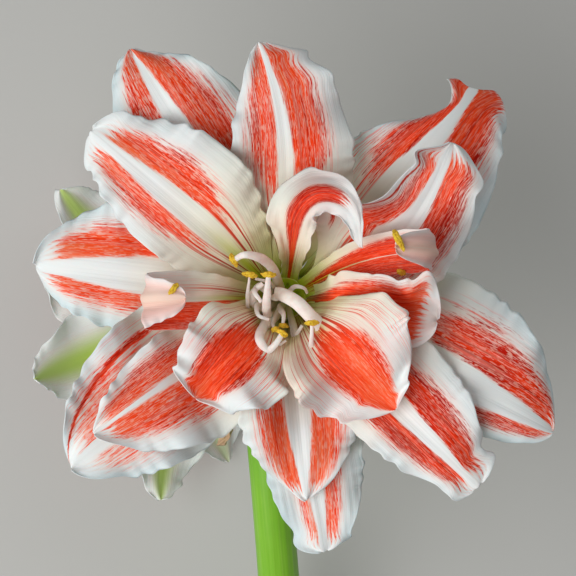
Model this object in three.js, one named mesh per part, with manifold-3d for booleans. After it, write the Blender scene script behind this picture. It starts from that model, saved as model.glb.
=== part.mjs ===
// A cut amaryllis (Hippeastrum): a hollow flower stalk, called the scape, with an umbel of two
// double blooms, lying on a surface. The front bloom faces straight up. The rear bloom faces away
// from it, down and to the left, and lies on the surface with its lowest petals. The cut end of the
// scape rests on the surface too.
// Millimetres, +Z up, +Y from the cut end to the blooms.

import * as THREE from "three";
import { mergeVertices } from "three/addons/utils/BufferGeometryUtils.js";
import Module from "manifold-3d";

const wasm = await Module();
wasm.setup();

// ---------------------------------------------------------------- driving dimensions

const SCAPE = {
  top: [-12, -30, 100], // where the umbel sits
  bendHigh: [-4, -120, 88],
  bendLow: [2, -195], // from here on it is as low as the surface lets it be
  touch: [0, -265], // where it meets the surface
  restLength: 50, // straight and flat on the surface from there to its cut end
  topRadius: 9.2,
  endRadius: 10.6,
  wall: 3.2,
  solidTop: 16, // the scape is solid for this far under the umbel
  sides: 16,
  steps: 16,
  boreSides: 10,
};
const PEDICEL = { radius: 4.1, apart: 9, ovaryRadius: 7.2, bend: 16, straight: 30, sides: 10, steps: 10 };
const VALVE = { length: 36, half: 10, from: 5, thick: 0.8, spread: 12, droop: 16, rows: 8, columns: 4 };
const SEAT = 0.3; // gap between pieces that are grown together

const BLOOM_TUBE = { baseRadius: 7.6, flareAngle: 14, length: 14, wall: 1.5 };
const WHORL_STEP = { radius: 1.25, height: 3 }; // each whorl sits this far inside the one before
const PETAL_THICK = 0.8;
const STRIP_THICK = 1.2;
const CLAW = 4.6; // half width of a petal where it leaves the tube
const LAY_GAP = [2.5, 2.8, 4.4]; // a petal that lies over another keeps this far in front of it
const LAST_WHORL = 2;
const GROUND_STEP = 2.5; // pressed against the surface, a whorl lies this far over the next
const WAVES = 4.2; // waves along one edge of a petal

const FRONT = { base: [0, -2, 147], faces: [0, 0.03, 1], scale: 1 };
const REAR = { base: [-28, -9, 61], faces: [-0.6, -0.1, -0.8], scale: 0.82 };

// Petals. az: direction from the bloom's axis in degrees, 90 towards +Y on the front bloom.
// reach: distance of its far end from the axis. ccw and cw: on each side of the midrib, the width in
// mm, how far the edge curls in degrees, plus towards the viewer, and where that side has its own
// blunt. open and tip: the angle between petal and axis in its middle and at its end, over 90 where
// it bends back, under 0 where it folds over the bloom. wave: height of its edge waves. lean:
// sideways bend in degrees, within the shares of its length in turn. fold: keel along the midrib.
// blunt: 0.8 is pointed, 0.5 blunt.
const OUTER_FRONT = [
  {
    az: 122, reach: 120, ccw: [31, -34, 0.62], cw: [31, -16, 0.75], open: 74, tip: 126, wave: 3.2,
    blunt: 0.5,
  },
  { az: 173, reach: 102, ccw: [23, -26], cw: [32, -14], open: 70, tip: 104, wave: 3.4, blunt: 0.48 },
  { az: 219, reach: 109, ccw: [28, -20], cw: [34, 22], open: 66, tip: 94, wave: 3.8, blunt: 0.62 },
  { az: 279, reach: 106, ccw: [22, -14], cw: [20, -18], open: 78, tip: 112, wave: 3, blunt: 0.5 },
  { az: 333, reach: 121, ccw: [40, -16], cw: [22, -52], open: 70, tip: 122, wave: 2.6, blunt: 0.56 },
  {
    az: 45, reach: 114, ccw: [28, -50, 2.2], cw: [38, -8, 0.62], open: 70, tip: 124, wave: 3.4,
    lean: 6,
  },
];
const INNER_FRONT = [
  {
    az: 90, reach: 102, ccw: [22, -16, 0.8], cw: [29, -30, 0.55], open: 64, tip: 104, wave: 3.6,
    lean: 21, turn: [0.5, 1.02],
  },
  { az: 140, reach: 102, ccw: [21, -20], cw: [30, -16], open: 64, tip: 110, wave: 3, blunt: 0.56 },
  { az: 216, reach: 93, ccw: [32, -30], cw: [17, -12], open: 58, tip: 88, wave: 3.4, fold: 12 },
  { az: 276, reach: 83, ccw: [27, -36], cw: [25, -40], open: 62, tip: 110, wave: 3, fold: 8 },
  { az: 315, reach: 108, ccw: [27, -12], cw: [19, -16], open: 66, tip: 102, wave: 3.4, blunt: 0.56 },
  {
    az: 17, reach: 88, ccw: [32, 64, 1.2], cw: [24, -10], open: 54, tip: 82, wave: 3.2, blunt: 0.5,
    lean: 51,
  },
];
const PETALOIDS_FRONT = [
  {
    az: 27, reach: 60, ccw: [9, 30], cw: [8, 20], open: 56, tip: -76, wave: 0.6, blunt: 0.35,
    lean: -30, turn: [0.2, 0.8],
  },
  { az: 182, reach: 56, ccw: [12, 12], cw: [11, 10], open: 66, tip: -105, wave: 0.5, blunt: 0.4 },
  { // a hook that turns to the right
    az: 80, reach: 42, ccw: [14, -20, 2.2], cw: [8, 60], open: 48, tip: 105, wave: 2.6,
    lean: -160, turn: [0.45, 0.98],
  },
  { az: 350, reach: 61, ccw: [14, 26, 0.3], cw: [16, 8], open: 62, tip: 84, wave: 2.2, blunt: 0.42 },
  { az: 229, reach: 54, ccw: [26, -22], cw: [21, -26, 0.45], open: 56, tip: 92, wave: 3.6 },
  { az: 314, reach: 63, ccw: [29, -14, 0.85], cw: [25, -18], open: 60, tip: 92, wave: 3.6 },
];

// Stamens that have turned into narrow petals, in the middle of the front bloom. Each is a ribbon
// along a line of points that starts in the throat. anther: the length of the anther that lies
// across its end, 0 for none.
const STAMINODES_FRONT = [
  { // arches over to the upper left
    width: 4,
    anther: 6,
    path: [[-1, 1, 16], [-3, 6, 38], [-5, 11, 52], [-10, 15, 63], [-16, 16, 67], [-20.5, 14, 62]],
  },
  { // a plain filament on the left
    width: 1.6,
    anther: 6,
    path: [[-2, -1, 16], [-9, -6, 34], [-14.5, -6, 44], [-15, 1, 57], [-14, 8, 68]],
  },
  { width: 2, anther: 0, path: [[-2, 1, 16], [-5, 4, 38], [-7.6, 6, 49], [-12, 7, 52]] },
  { // stands up in the middle
    width: 3.6,
    anther: 6,
    path: [[-1, -2, 16], [-5, -8, 38], [-7.5, -6, 54], [-7, 1, 65], [-6.4, 8, 72]],
  },
  { // crumpled
    width: 3.4,
    anther: 0,
    path: [[-2, 0, 16], [-8, -4, 38], [-12.5, -3, 47], [-13, 1, 53], [-9, 5, 57]],
  },
  { // curls back in a hook at the lower left
    width: 4,
    anther: 5,
    path: [
      [0, -3, 16], [-5, -9, 42], [-9, -13, 54], [-10, -18, 60], [-7, -22, 60], [-3.5, -19, 61], [-1, -15, 61],
    ],
  },
  { // a broad band that bends over to the right and down
    width: 5.6,
    anther: 0,
    path: [
      [0, 0, 16], [-4, 1, 46], [0, 0, 57], [5, -3, 61], [10, -8, 61],
      [14, -12, 59], [14, -16, 58], [10.5, -20, 57], [7, -24, 58],
    ],
  },
  { // turns back up at the lower right
    width: 2.6,
    anther: 6,
    path: [[1, -3, 16], [4, -13, 42], [7, -21, 55], [10, -21, 62], [10.6, -16, 65], [10.6, -11, 67]],
  },
  { width: 2.4, anther: 0, path: [[1, -2, 16], [3, -12, 38], [4, -16, 45], [7, -12, 52]] },
  { width: 2, anther: 0, path: [[1, 1, 16], [1.5, 2, 42], [5, 4, 50], [8, 3, 50], [9, 1, 47]] },
  { width: 2.6, anther: 4, path: [[0, -2, 16], [-2, -5, 42], [-0.5, -8, 49], [-0.8, -12, 50]] },
];
// The rear bloom has plain ones. Their path is in distances from the bloom's axis and heights.
const STAMINODES_REAR = {
  width: 2,
  anther: 7,
  turns: [40, 130, 220, 310],
  path: [[2, 16], [5, 30], [9, 42], [14, 52]],
};

// The rear bloom follows a rule: six petals a whorl, each whorl turned half a step from the last.
const REAR_WHORLS = [
  { start: -18, reach: 108, half: 29, open: 70, tip: 106, wave: 3.4 },
  { start: 12, reach: 94, half: 26, open: 66, tip: 100, wave: 3.2 },
  { start: -6, reach: 56, half: 17, open: 62, tip: 96, wave: 2.4 },
];
const REAR_SPREAD = 3; // how far, in mm, the reach of neighbours differs

const GRIDS = {
  front: { tepal: [10, 6], petaloid: [8, 4], strip: 10 },
  rear: { tepal: [9, 4], petaloid: [7, 4], strip: 5 },
};
const CUP_SIDES = 12;

// ---------------------------------------------------------------- small helpers

const rad = THREE.MathUtils.degToRad;
const smooth = (from, to, x) => THREE.MathUtils.smoothstep(x, from, to);
const vec = (a) => new THREE.Vector3(...a);

// A closed geometry as a manifold-3d solid, so that it can be joined or cut.
function solid(geometry) {
  const bare = geometry.clone();
  bare.deleteAttribute("normal");
  bare.deleteAttribute("uv");
  const merged = mergeVertices(bare, 1e-4);
  return new wasm.Manifold(
    new wasm.Mesh({
      numProp: 3,
      vertProperties: new Float32Array(merged.attributes.position.array),
      triVerts: new Uint32Array(merged.index.array),
    }),
  );
}

function geometryOf(manifold) {
  const mesh = manifold.getMesh();
  const geometry = new THREE.BufferGeometry();
  geometry.setAttribute("position", new THREE.BufferAttribute(mesh.vertProperties, 3));
  geometry.setIndex(new THREE.BufferAttribute(mesh.triVerts, 1));
  return geometry;
}

const join = (geometries) =>
  geometryOf(geometries.map(solid).reduce((all, next) => all.add(next)));

// A geometry from rows of points, row by row round a closed skin. Both ends are closed by a fan.
function closedTube(rings) {
  const sides = rings[0].length;
  const points = rings.flat();
  const faces = [];
  for (let i = 0; i < rings.length - 1; i++)
    for (let j = 0; j < sides; j++) {
      const a = i * sides + j;
      const b = i * sides + ((j + 1) % sides);
      faces.push(a, b, b + sides, a, b + sides, a + sides);
    }
  const middle = (ring) =>
    ring.reduce((sum, p) => sum.add(p), new THREE.Vector3()).divideScalar(sides);
  const first = points.push(middle(rings[0])) - 1;
  const last = points.push(middle(rings.at(-1))) - 1;
  const start = (rings.length - 1) * sides;
  for (let j = 0; j < sides; j++) {
    faces.push(first, (j + 1) % sides, j);
    faces.push(last, start + j, start + ((j + 1) % sides));
  }
  return new THREE.BufferGeometry().setFromPoints(points).setIndex(faces);
}

// A tube along a curve. radiusAt gives its radius at a share of its length, and shape may press its
// section out of round. A flat side of the section faces down.
function sweep(curve, radiusAt, sides, steps, shape = () => 1) {
  const rings = [];
  for (let i = 0; i <= steps; i++) {
    const section = sectionAt(curve, i / steps);
    const ring = [];
    for (let j = 0; j < sides; j++) {
      const turn = ((j + 0.5) / sides) * 2 * Math.PI - Math.PI / 2;
      ring.push(section(radiusAt(i / steps) * shape(turn, i / steps), turn));
    }
    rings.push(ring);
  }
  return closedTube(rings);
}

// The plane across a curve at a share of its length: gives the point at a radius and a turn in it,
// where a turn of 90 degrees is up.
function sectionAt(curve, share) {
  const at = curve.getPointAt(share);
  const along = curve.getTangentAt(share);
  const across = new THREE.Vector3().crossVectors(new THREE.Vector3(0, 0, 1), along);
  if (across.lengthSq() < 1e-6) across.set(1, 0, 0);
  across.normalize();
  const up = new THREE.Vector3().crossVectors(along, across);
  return (radius, turn) =>
    at
      .clone()
      .addScaledVector(across, radius * Math.cos(turn))
      .addScaledVector(up, radius * Math.sin(turn));
}

// ---------------------------------------------------------------- petals

// The width on one side of the midrib at a share u of the length: a narrow claw, widest past the
// middle, and a pointed or blunt end.
function widthAt(petal, [half, , blunt = petal.blunt ?? 0.7], u) {
  const claw = Math.min(CLAW, half) * (1 - smooth(0, 0.5, u));
  const blade = half * Math.sin(Math.PI * u ** 1.3) ** blunt;
  return Math.max(0.7, claw + blade * smooth(0.06, 0.5, u) + 0.7 * u);
}

// The angle between the midrib and the bloom's axis.
function slope(petal, u) {
  const rise = BLOOM_TUBE.flareAngle;
  const opened = rise + (petal.open - rise) * smooth(0.06, 0.46, u);
  return rad(opened + (petal.tip - petal.open) * smooth(0.56, 1.06, u));
}

// The midrib as points with the direction, the side and the front of the petal at each. The rows
// lie closer together towards the tip.
function midrib(petal, length, whorl, rows) {
  const fine = 6; // steps of the sum for each row
  const share = (i) => 1 - (1 - i / (rows * fine)) ** 1.3;
  const at = new THREE.Vector3(
    BLOOM_TUBE.baseRadius - WHORL_STEP.radius * whorl,
    0,
    WHORL_STEP.height * whorl,
  ).applyAxisAngle(new THREE.Vector3(0, 0, 1), rad(petal.az));
  const made = [];
  for (let i = 0; i <= rows * fine; i++) {
    const u = share(i);
    const heading = rad(petal.az + (petal.lean ?? 0) * smooth(...(petal.turn ?? [0.15, 1]), u));
    const theta = slope(petal, u);
    const along = new THREE.Vector3(
      Math.cos(heading) * Math.sin(theta),
      Math.sin(heading) * Math.sin(theta),
      Math.cos(theta),
    );
    const side = new THREE.Vector3(-Math.sin(heading), Math.cos(heading), 0);
    const front = new THREE.Vector3().crossVectors(along, side);
    if (i % fine === 0) made.push({ u, at: at.clone(), theta, side, front });
    at.addScaledVector(along, length * (share(i + 1) - u));
  }
  return made;
}

// The length that gives the petal its reach.
function lengthOf(petal, whorl) {
  let length = petal.reach * 1.2;
  for (let i = 0; i < 5; i++) {
    const far = Math.max(...midrib(petal, length, whorl, 24).map((m) => Math.hypot(m.at.x, m.at.y)));
    length *= petal.reach / far;
  }
  return length;
}

// The middle surface of a petal as rows of points across it, in the bloom's own frame.
function petalSurface(petal, whorl, order, [rows, columns]) {
  const length = lengthOf(petal, whorl);
  return midrib(petal, length, whorl, rows).map(({ u, at, theta, side, front }) => {
    const radius = Math.max(Math.hypot(at.x, at.y), 4);
    const own = smooth(0.16, 0.5, u);
    const row = [];
    for (let j = 0; j <= columns; j++) {
      const v = (2 * j) / columns - 1;
      const flank = v > 0 ? petal.ccw : petal.cw;
      const half = widthAt(petal, flank, u);
      const round = (half * Math.cos(theta)) / radius; // the edge angle that keeps it round the throat
      const curl = round * (1 - own) + rad(flank[1]) * own;
      const bent = Math.abs(curl) < 1e-3 ? 1e-3 : curl;
      const sideways = (half * Math.sin(bent * v)) / bent;
      let forward = (half * (1 - Math.cos(bent * v))) / bent;
      forward += half * Math.tan(rad(petal.fold ?? 0)) * own * (Math.hypot(v, 0.15) - 0.15);
      const wave = Math.sin(2 * Math.PI * WAVES * u + 2.4 * order + 1.9 * Math.sign(v));
      forward += (petal.wave ?? 0) * wave * Math.abs(v) ** 2.2 * smooth(0.2, 0.5, u);
      row.push(at.clone().addScaledVector(side, sideways).addScaledVector(front, forward));
    }
    return row;
  });
}

// A blade of the given thickness round a surface, split into triangles alike on both faces.
function blade(surface, thick) {
  const rows = surface.length - 1;
  const columns = surface[0].length - 1;
  const front = [];
  const back = [];
  const up = new THREE.Vector3();
  const over = new THREE.Vector3();
  surface.forEach((row, i) =>
    row.forEach((p, j) => {
      up.subVectors(surface[Math.min(i + 1, rows)][j], surface[Math.max(i - 1, 0)][j]);
      over.subVectors(row[Math.min(j + 1, columns)], row[Math.max(j - 1, 0)]);
      const normal = new THREE.Vector3().crossVectors(up, over).normalize();
      front.push(p.clone().addScaledVector(normal, thick / 2));
      back.push(p.clone().addScaledVector(normal, -thick / 2));
    }),
  );
  const id = (i, j) => i * (columns + 1) + j;
  const under = front.length;
  const faces = [];
  for (let i = 0; i < rows; i++)
    for (let j = 0; j < columns; j++) {
      const [a, b, c, d] = [id(i, j), id(i + 1, j), id(i + 1, j + 1), id(i, j + 1)];
      faces.push(a, b, c, a, c, d);
      faces.push(under + a, under + c, under + b, under + a, under + d, under + c);
    }
  const rim = [];
  for (let j = 0; j < columns; j++) rim.push([id(0, j), id(0, j + 1)]);
  for (let i = 0; i < rows; i++) rim.push([id(i, columns), id(i + 1, columns)]);
  for (let j = columns; j > 0; j--) rim.push([id(rows, j), id(rows, j - 1)]);
  for (let i = rows; i > 0; i--) rim.push([id(i, 0), id(i - 1, 0)]);
  for (const [a, b] of rim) faces.push(a, b, under + b, a, under + b, under + a);
  return new THREE.BufferGeometry().setFromPoints([...front, ...back]).setIndex(faces);
}

// Lifts a petal's surface along the bloom's axis, so that it passes in front of those laid before.
function layOver(surface, laid, gap) {
  if (!laid.length) return surface;
  const ray = new THREE.Raycaster();
  const down = new THREE.Vector3(0, 0, -1);
  const high = 300;
  const near = 5;
  const around = [[0, 0]];
  for (let k = 0; k < 6; k++)
    around.push([near * Math.cos((k * Math.PI) / 3), near * Math.sin((k * Math.PI) / 3)]);
  let lift = surface.map((row, i) =>
    row.map((p) => {
      const share = i / (surface.length - 1);
      if (share < 0.2) return 0;
      let top = -high;
      for (const [dx, dy] of around) {
        ray.set(new THREE.Vector3(p.x + dx, p.y + dy, high), down);
        const hit = ray.intersectObjects(laid, false)[0];
        if (hit) top = Math.max(top, hit.point.z);
      }
      return Math.max(0, top + gap - p.z) * smooth(0.2, 0.34, share);
    }),
  );
  for (let pass = 0; pass < 2; pass++)
    lift = lift.map((row, i) =>
      row.map((own, j) => {
        const next = [lift[i - 1]?.[j], lift[i + 1]?.[j], row[j - 1], row[j + 1]].filter(
          (x) => x !== undefined,
        );
        return Math.max(own, (own + next.reduce((a, b) => a + b, 0)) / (next.length + 1));
      }),
    );
  return surface.map((row, i) =>
    row.map((p, j) => p.clone().add(new THREE.Vector3(0, 0, lift[i][j]))),
  );
}

// The short cup that a whorl's petals grow from, with its floor.
function cup(whorl) {
  const { baseRadius, flareAngle, length, wall } = BLOOM_TUBE;
  const radius = baseRadius - WHORL_STEP.radius * whorl;
  const foot = WHORL_STEP.height * whorl;
  const widen = length * Math.tan(rad(flareAngle));
  const half = (wall - 0.3 * Math.min(whorl, 1) * 2) / 2;
  const floor = foot + WHORL_STEP.height - 0.5;
  const inner = radius - half + (floor - foot) * Math.tan(rad(flareAngle));
  const outline = [
    [0, foot],
    [radius + half, foot],
    [radius + half + widen, foot + length],
    [radius - half + widen, foot + length],
    [inner, floor],
    [0, floor],
  ].map(([r, h]) => new THREE.Vector2(r, h));
  return new THREE.LatheGeometry(outline, CUP_SIDES).rotateX(Math.PI / 2);
}

// ---------------------------------------------------------------- a bloom

const doubleSided = new THREE.MeshBasicMaterial({ side: THREE.DoubleSide });

// Lays a whorl's petals over those already laid, and joins them to their cup.
function whorlSolids(petals, whorl, grid, laid, place) {
  const blades = petals.map((petal, order) => {
    const surface = layOver(petalSurface(petal, whorl, order, grid), laid, LAY_GAP[whorl]);
    laid.push(new THREE.Mesh(blade(surface, PETAL_THICK), doubleSided));
    return blade(place(surface, whorl), PETAL_THICK);
  });
  const base = cup(whorl);
  base.applyMatrix4(place.matrix);
  return join([base, ...blades]);
}

// The middle surface of a ribbon along a line of points, as rows of two. It narrows at its end.
function ribbon({ width, path }, steps) {
  const curve = new THREE.CatmullRomCurve3(path.map(vec));
  return Array.from({ length: steps + 1 }, (_, i) => {
    const section = sectionAt(curve, i / steps);
    const half = (width / 2) * (1 - 0.35 * smooth(0.7, 1, i / steps));
    return [section(half, Math.PI), section(half, 0)];
  });
}

// An anther across the end of its ribbon.
function anther(surface, length) {
  const [left, right] = surface.at(-1);
  const middle = left.clone().lerp(right, 0.5);
  const across = new THREE.Vector3().subVectors(right, left).setLength(length / 2);
  const curve = new THREE.LineCurve3(middle.clone().sub(across), middle.clone().add(across));
  return sweep(curve, (t) => 0.5 + 1.1 * Math.sin(Math.PI * t), 5, 3);
}

// The ribbons grow from a short core on the floor of the throat.
function staminodeSolids(strips, steps, matrix) {
  const core = new THREE.CylinderGeometry(4, 3.4, 9, CUP_SIDES).rotateX(Math.PI / 2);
  core.translate(0, 0, WHORL_STEP.height * (LAST_WHORL + 1) + 4.5);
  const parts = [core];
  for (const strip of strips) {
    const surface = ribbon(strip, steps);
    parts.push(blade(surface, STRIP_THICK));
    if (strip.anther) parts.push(anther(surface, strip.anther));
  }
  for (const part of parts) part.applyMatrix4(matrix);
  return join(parts);
}

// The matrix that puts a bloom on its pedicel: its Z is the way it faces, its Y is near +Y.
function bloomMatrix({ base, faces, scale }) {
  const z = vec(faces).normalize();
  const y = new THREE.Vector3(0, 1, 0).addScaledVector(z, -z.y).normalize();
  const x = new THREE.Vector3().crossVectors(y, z);
  return new THREE.Matrix4()
    .makeBasis(x, y, z)
    .scale(new THREE.Vector3(scale, scale, scale))
    .setPosition(vec(base));
}

// Carries surfaces from a bloom's frame to the part's. What would sink into the surface that the
// part lies on is bent to lie along it.
function placer(bloom) {
  const matrix = bloomMatrix(bloom);
  const place = (surface, whorl) =>
    surface.map((row, i) => {
      const free = smooth(0.66, 0.88, i / (surface.length - 1)); // past the whorl under it
      const low = PETAL_THICK / 2 + (LAST_WHORL - whorl) * GROUND_STEP * (1 - free);
      return row.map((p) => {
        const moved = p.clone().applyMatrix4(matrix);
        moved.z = Math.max(moved.z, low);
        return moved;
      });
    });
  place.matrix = matrix;
  return place;
}

function rearStaminodes({ turns, path, ...strip }) {
  return turns.map((turn) => ({
    ...strip,
    path: path.map(([r, h]) => [r * Math.cos(rad(turn)), r * Math.sin(rad(turn)), h]),
  }));
}

function rearPetals({ start, half, ...petal }, whorl) {
  return [0, 1, 2, 3, 4, 5].map((k) => {
    const vary = Math.sin(2.4 * k + whorl);
    return {
      ...petal,
      az: start + 60 * k + 4 * vary,
      reach: petal.reach + REAR_SPREAD * Math.sin(1.7 * k + 2 * whorl),
      tip: petal.tip + 7 * vary,
      ccw: [half, -16 + 10 * Math.sin(3.1 * k)],
      cw: [half, -16 + 10 * Math.cos(2.3 * k)],
    };
  });
}

// ---------------------------------------------------------------- green pieces

// The line of the scape, from the umbel down to its cut end.
function scapeCurve() {
  const lie = SCAPE.endRadius * Math.cos(Math.PI / SCAPE.sides); // its lowest side is then at zero
  const low = vec([...SCAPE.bendLow, lie]);
  const touch = vec([...SCAPE.touch, lie]);
  const end = touch.clone().addScaledVector(touch.clone().sub(low).normalize(), SCAPE.restLength);
  const curve = new THREE.CurvePath();
  curve.add(new THREE.CubicBezierCurve3(vec(SCAPE.top), vec(SCAPE.bendHigh), low, touch));
  curve.add(new THREE.LineCurve3(touch, end));
  return curve;
}

// A hollow stalk, solid under the umbel and open at its cut end.
function scape() {
  const { sides, steps, wall, topRadius, endRadius, solidTop, boreSides } = SCAPE;
  const curve = scapeCurve();
  const radiusAt = (t) => THREE.MathUtils.lerp(topRadius, endRadius, smooth(0, 0.8, t));
  const outer = solid(sweep(curve, radiusAt, sides, steps));
  const from = solidTop / curve.getLength();
  const line = Array.from({ length: steps }, (_, i) =>
    curve.getPointAt(THREE.MathUtils.lerp(from, 1, i / (steps - 1))),
  );
  line.push(curve.getPointAt(1).addScaledVector(curve.getTangentAt(1), 2 * wall));
  const bore = sweep(new THREE.CatmullRomCurve3(line), () => topRadius - wall, boreSides, steps);
  return geometryOf(outer.subtract(solid(bore)));
}

// The pedicel: a short stalk from the umbel to a bloom, ending in the three-lobed ovary. side is the
// half of the umbel that it stands on, -1 or 1.
function pedicel(bloom, side) {
  const { radius, apart, ovaryRadius, bend, straight, sides, steps } = PEDICEL;
  const out = vec(SCAPE.top).sub(vec(SCAPE.bendHigh)).normalize();
  const faces = vec(bloom.faces).normalize();
  const across = new THREE.Vector3().crossVectors(out, new THREE.Vector3(0, 0, 1)).normalize();
  const foot = vec(SCAPE.top)
    .addScaledVector(out, SEAT)
    .addScaledVector(across, (side * apart) / 2);
  const top = vec(bloom.base).addScaledVector(faces, -SEAT);
  const curve = new THREE.CubicBezierCurve3(
    foot,
    foot.clone().addScaledVector(out, bend),
    top.clone().addScaledVector(faces, -straight),
    top,
  );
  const ovary = (t) => smooth(0.56, 0.78, t) - 0.16 * smooth(0.86, 1, t);
  const radiusAt = (t) => radius + (ovaryRadius - radius) * ovary(t);
  const lobes = (turn, t) => 1 + 0.06 * Math.cos(3 * turn) * ovary(t);
  return sweep(curve, radiusAt, sides, steps, lobes);
}

// One of the two withered bracts that once wrapped the buds. It holds the scape round one side under
// the umbel, spreads away from it and droops.
function spatheValve(side) {
  const { length, half, from, thick, spread, droop, rows, columns } = VALVE;
  const curve = scapeCurve();
  const total = curve.getLength();
  const surface = [];
  for (let i = 0; i <= rows; i++) {
    const u = i / rows;
    const section = sectionAt(curve, (from + length * u) / total);
    const radius = SCAPE.topRadius + SEAT + thick + spread * u ** 1.6;
    const width = half * Math.sin(Math.PI * (0.36 + 0.6 * u)) ** 0.8 + 0.6;
    const row = [];
    for (let j = 0; j <= columns; j++) {
      const v = (2 * j) / columns - 1;
      const crumple = 1.6 * Math.sin(9 * u + 4 * v * side) * u;
      const turn = (side < 0 ? 0 : Math.PI) + (width / radius) * v;
      const p = section(radius + crumple, turn);
      p.z -= droop * u ** 2;
      row.push(p);
    }
    surface.push(row);
  }
  return blade(surface, thick);
}

// ---------------------------------------------------------------- the part

const group = new THREE.Group();
const COLOURS = {
  stalk: new THREE.MeshStandardMaterial({ color: 0x74b02c, roughness: 0.5, metalness: 0 }),
  bract: new THREE.MeshStandardMaterial({ color: 0xb9a070, roughness: 0.8, metalness: 0 }),
  petal: new THREE.MeshStandardMaterial({ color: 0xf0ece6, roughness: 0.55, metalness: 0 }),
  petaloid: new THREE.MeshStandardMaterial({ color: 0xe8c4b8, roughness: 0.55, metalness: 0 }),
  stamen: new THREE.MeshStandardMaterial({ color: 0xf2dcd2, roughness: 0.5, metalness: 0 }),
};

function add(name, geometry, material) {
  const mesh = new THREE.Mesh(geometry, material);
  mesh.name = name;
  group.add(mesh);
}

add("scape", scape(), COLOURS.stalk);
add("front_pedicel", pedicel(FRONT, 1), COLOURS.stalk);
add("rear_pedicel", pedicel(REAR, -1), COLOURS.stalk);
add("left_spathe_valve", spatheValve(-1), COLOURS.bract);
add("right_spathe_valve", spatheValve(1), COLOURS.bract);

for (const [name, bloom, outer, inner, petaloids, staminodes] of [
  ["front", FRONT, OUTER_FRONT, INNER_FRONT, PETALOIDS_FRONT, STAMINODES_FRONT],
  ["rear", REAR, ...REAR_WHORLS.map(rearPetals), rearStaminodes(STAMINODES_REAR)],
]) {
  const place = placer(bloom);
  const grid = GRIDS[name];
  const laid = [];
  add(`${name}_outer_tepals`, whorlSolids(outer, 0, grid.tepal, laid, place), COLOURS.petal);
  add(`${name}_inner_tepals`, whorlSolids(inner, 1, grid.tepal, laid, place), COLOURS.petal);
  add(`${name}_petaloids`, whorlSolids(petaloids, 2, grid.petaloid, laid, place), COLOURS.petaloid);
  const strips = staminodeSolids(staminodes, grid.strip, place.matrix);
  add(`${name}_staminodes`, strips, COLOURS.stamen);
}

// The origin is at the middle of the part's box, on the surface that it lies on.
const box = new THREE.Box3().setFromObject(group, true);
group.position.set(-(box.min.x + box.max.x) / 2, -(box.min.y + box.max.y) / 2, -box.min.z);

export default group;
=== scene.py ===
"""Dresses the frame of a cut amaryllis flower stem.

The stem lies on a surface. Its front bloom faces straight up, its rear bloom faces down and away.
Sizes in the tables are millimetres in the flower's own frame: its origin is under the front
bloom, +Z is up and +Y points from the cut end to the blooms. Blender's objects are in metres in the
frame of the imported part.
"""

import math
from functools import partial
from typing import NamedTuple

import bpy
import numpy as np
from bpy.props import FloatProperty, FloatVectorProperty, IntProperty, PointerProperty
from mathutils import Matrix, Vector


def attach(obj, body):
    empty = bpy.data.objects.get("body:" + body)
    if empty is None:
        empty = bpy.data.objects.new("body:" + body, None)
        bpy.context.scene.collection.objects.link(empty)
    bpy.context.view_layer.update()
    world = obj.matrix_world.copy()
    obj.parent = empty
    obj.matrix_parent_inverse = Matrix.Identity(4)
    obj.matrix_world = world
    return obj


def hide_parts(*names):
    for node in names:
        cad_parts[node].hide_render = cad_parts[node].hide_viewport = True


bl_info = {
    "name": "Cut amaryllis flower stem",
    "version": (1, 0, 0),
    "blender": (4, 5, 0),
    "location": "View3D > Sidebar > Amaryllis",
    "description": "Petals, filaments, stalk and stage of a cut double amaryllis",
    "category": "Add Mesh",
}

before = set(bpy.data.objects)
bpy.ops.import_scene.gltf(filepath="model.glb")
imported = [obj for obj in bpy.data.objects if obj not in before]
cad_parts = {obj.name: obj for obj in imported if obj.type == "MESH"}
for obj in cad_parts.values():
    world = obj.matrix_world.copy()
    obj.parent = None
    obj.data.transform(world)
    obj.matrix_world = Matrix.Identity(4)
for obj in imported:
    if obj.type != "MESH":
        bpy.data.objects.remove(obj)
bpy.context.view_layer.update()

MM = 0.001
BODY = "root"

# ---------------------------------------------------------------- the flower's own sizes, mm


class Petal(NamedTuple):
    """A petal, or in the rear bloom the pattern of a whorl.

    az: direction from the bloom's axis, degrees. reach: distance of its far end from the axis.
    ccw, cw: on each side of the midrib its width, how far its edge curls, degrees, plus towards
    the viewer, and where that side has its own blunt. open, tip: angle between petal and axis in
    its middle and at its end. wave: height of its edge waves. blunt: 0.8 is a pointed end, 0.5 a
    blunt one. lean: sideways bend, degrees, within the shares of the length in turn. fold: keel
    along the midrib. bands: half width of the white stripe along the midrib, then of the ccw and of
    the cw band where it ends and how full of colour it is, as shares of the half width and of one.
    runs: shares of the length where the bands begin and end. deep_and_shade: how dark their red is;
    set petal by petal it is mostly painted shade, higher on the petals on the right, which lie in
    shade, and lower, as painted light, on the inner petal at 276 under the petaloids' shadow. lined:
    share of the half width that has throat lines. line: share of the half width where a dark red
    line runs, 0 for none. lobes: (v, width, mm), where its end is drawn out. bumps: (side, u,
    width, mm), where an edge juts out. v is the share of the half width, plus on the ccw side, and
    u the share of the length.
    """

    az: float
    reach: float
    ccw: tuple
    cw: tuple
    open: float
    tip: float
    wave: float
    blunt: float = 0.7
    lean: float = 0.0
    turn: tuple = (0.15, 1)
    fold: float = 0.0
    bands: tuple = (0.14, 0.7, 0.8, 0.7, 0.8)
    runs: tuple = (0.4, 1.0)
    deep_and_shade: float = 0.3
    lined: float = 0.5
    line: float = 0.0
    lobes: tuple = ()
    bumps: tuple = ()


# the darkness of red that each petal in these three tables is given is mostly painted shade: high on the
# right-hand petals, which lie in shade, and low, as painted light, on the inner petal at 276 under the petaloids'
# shadow
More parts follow.
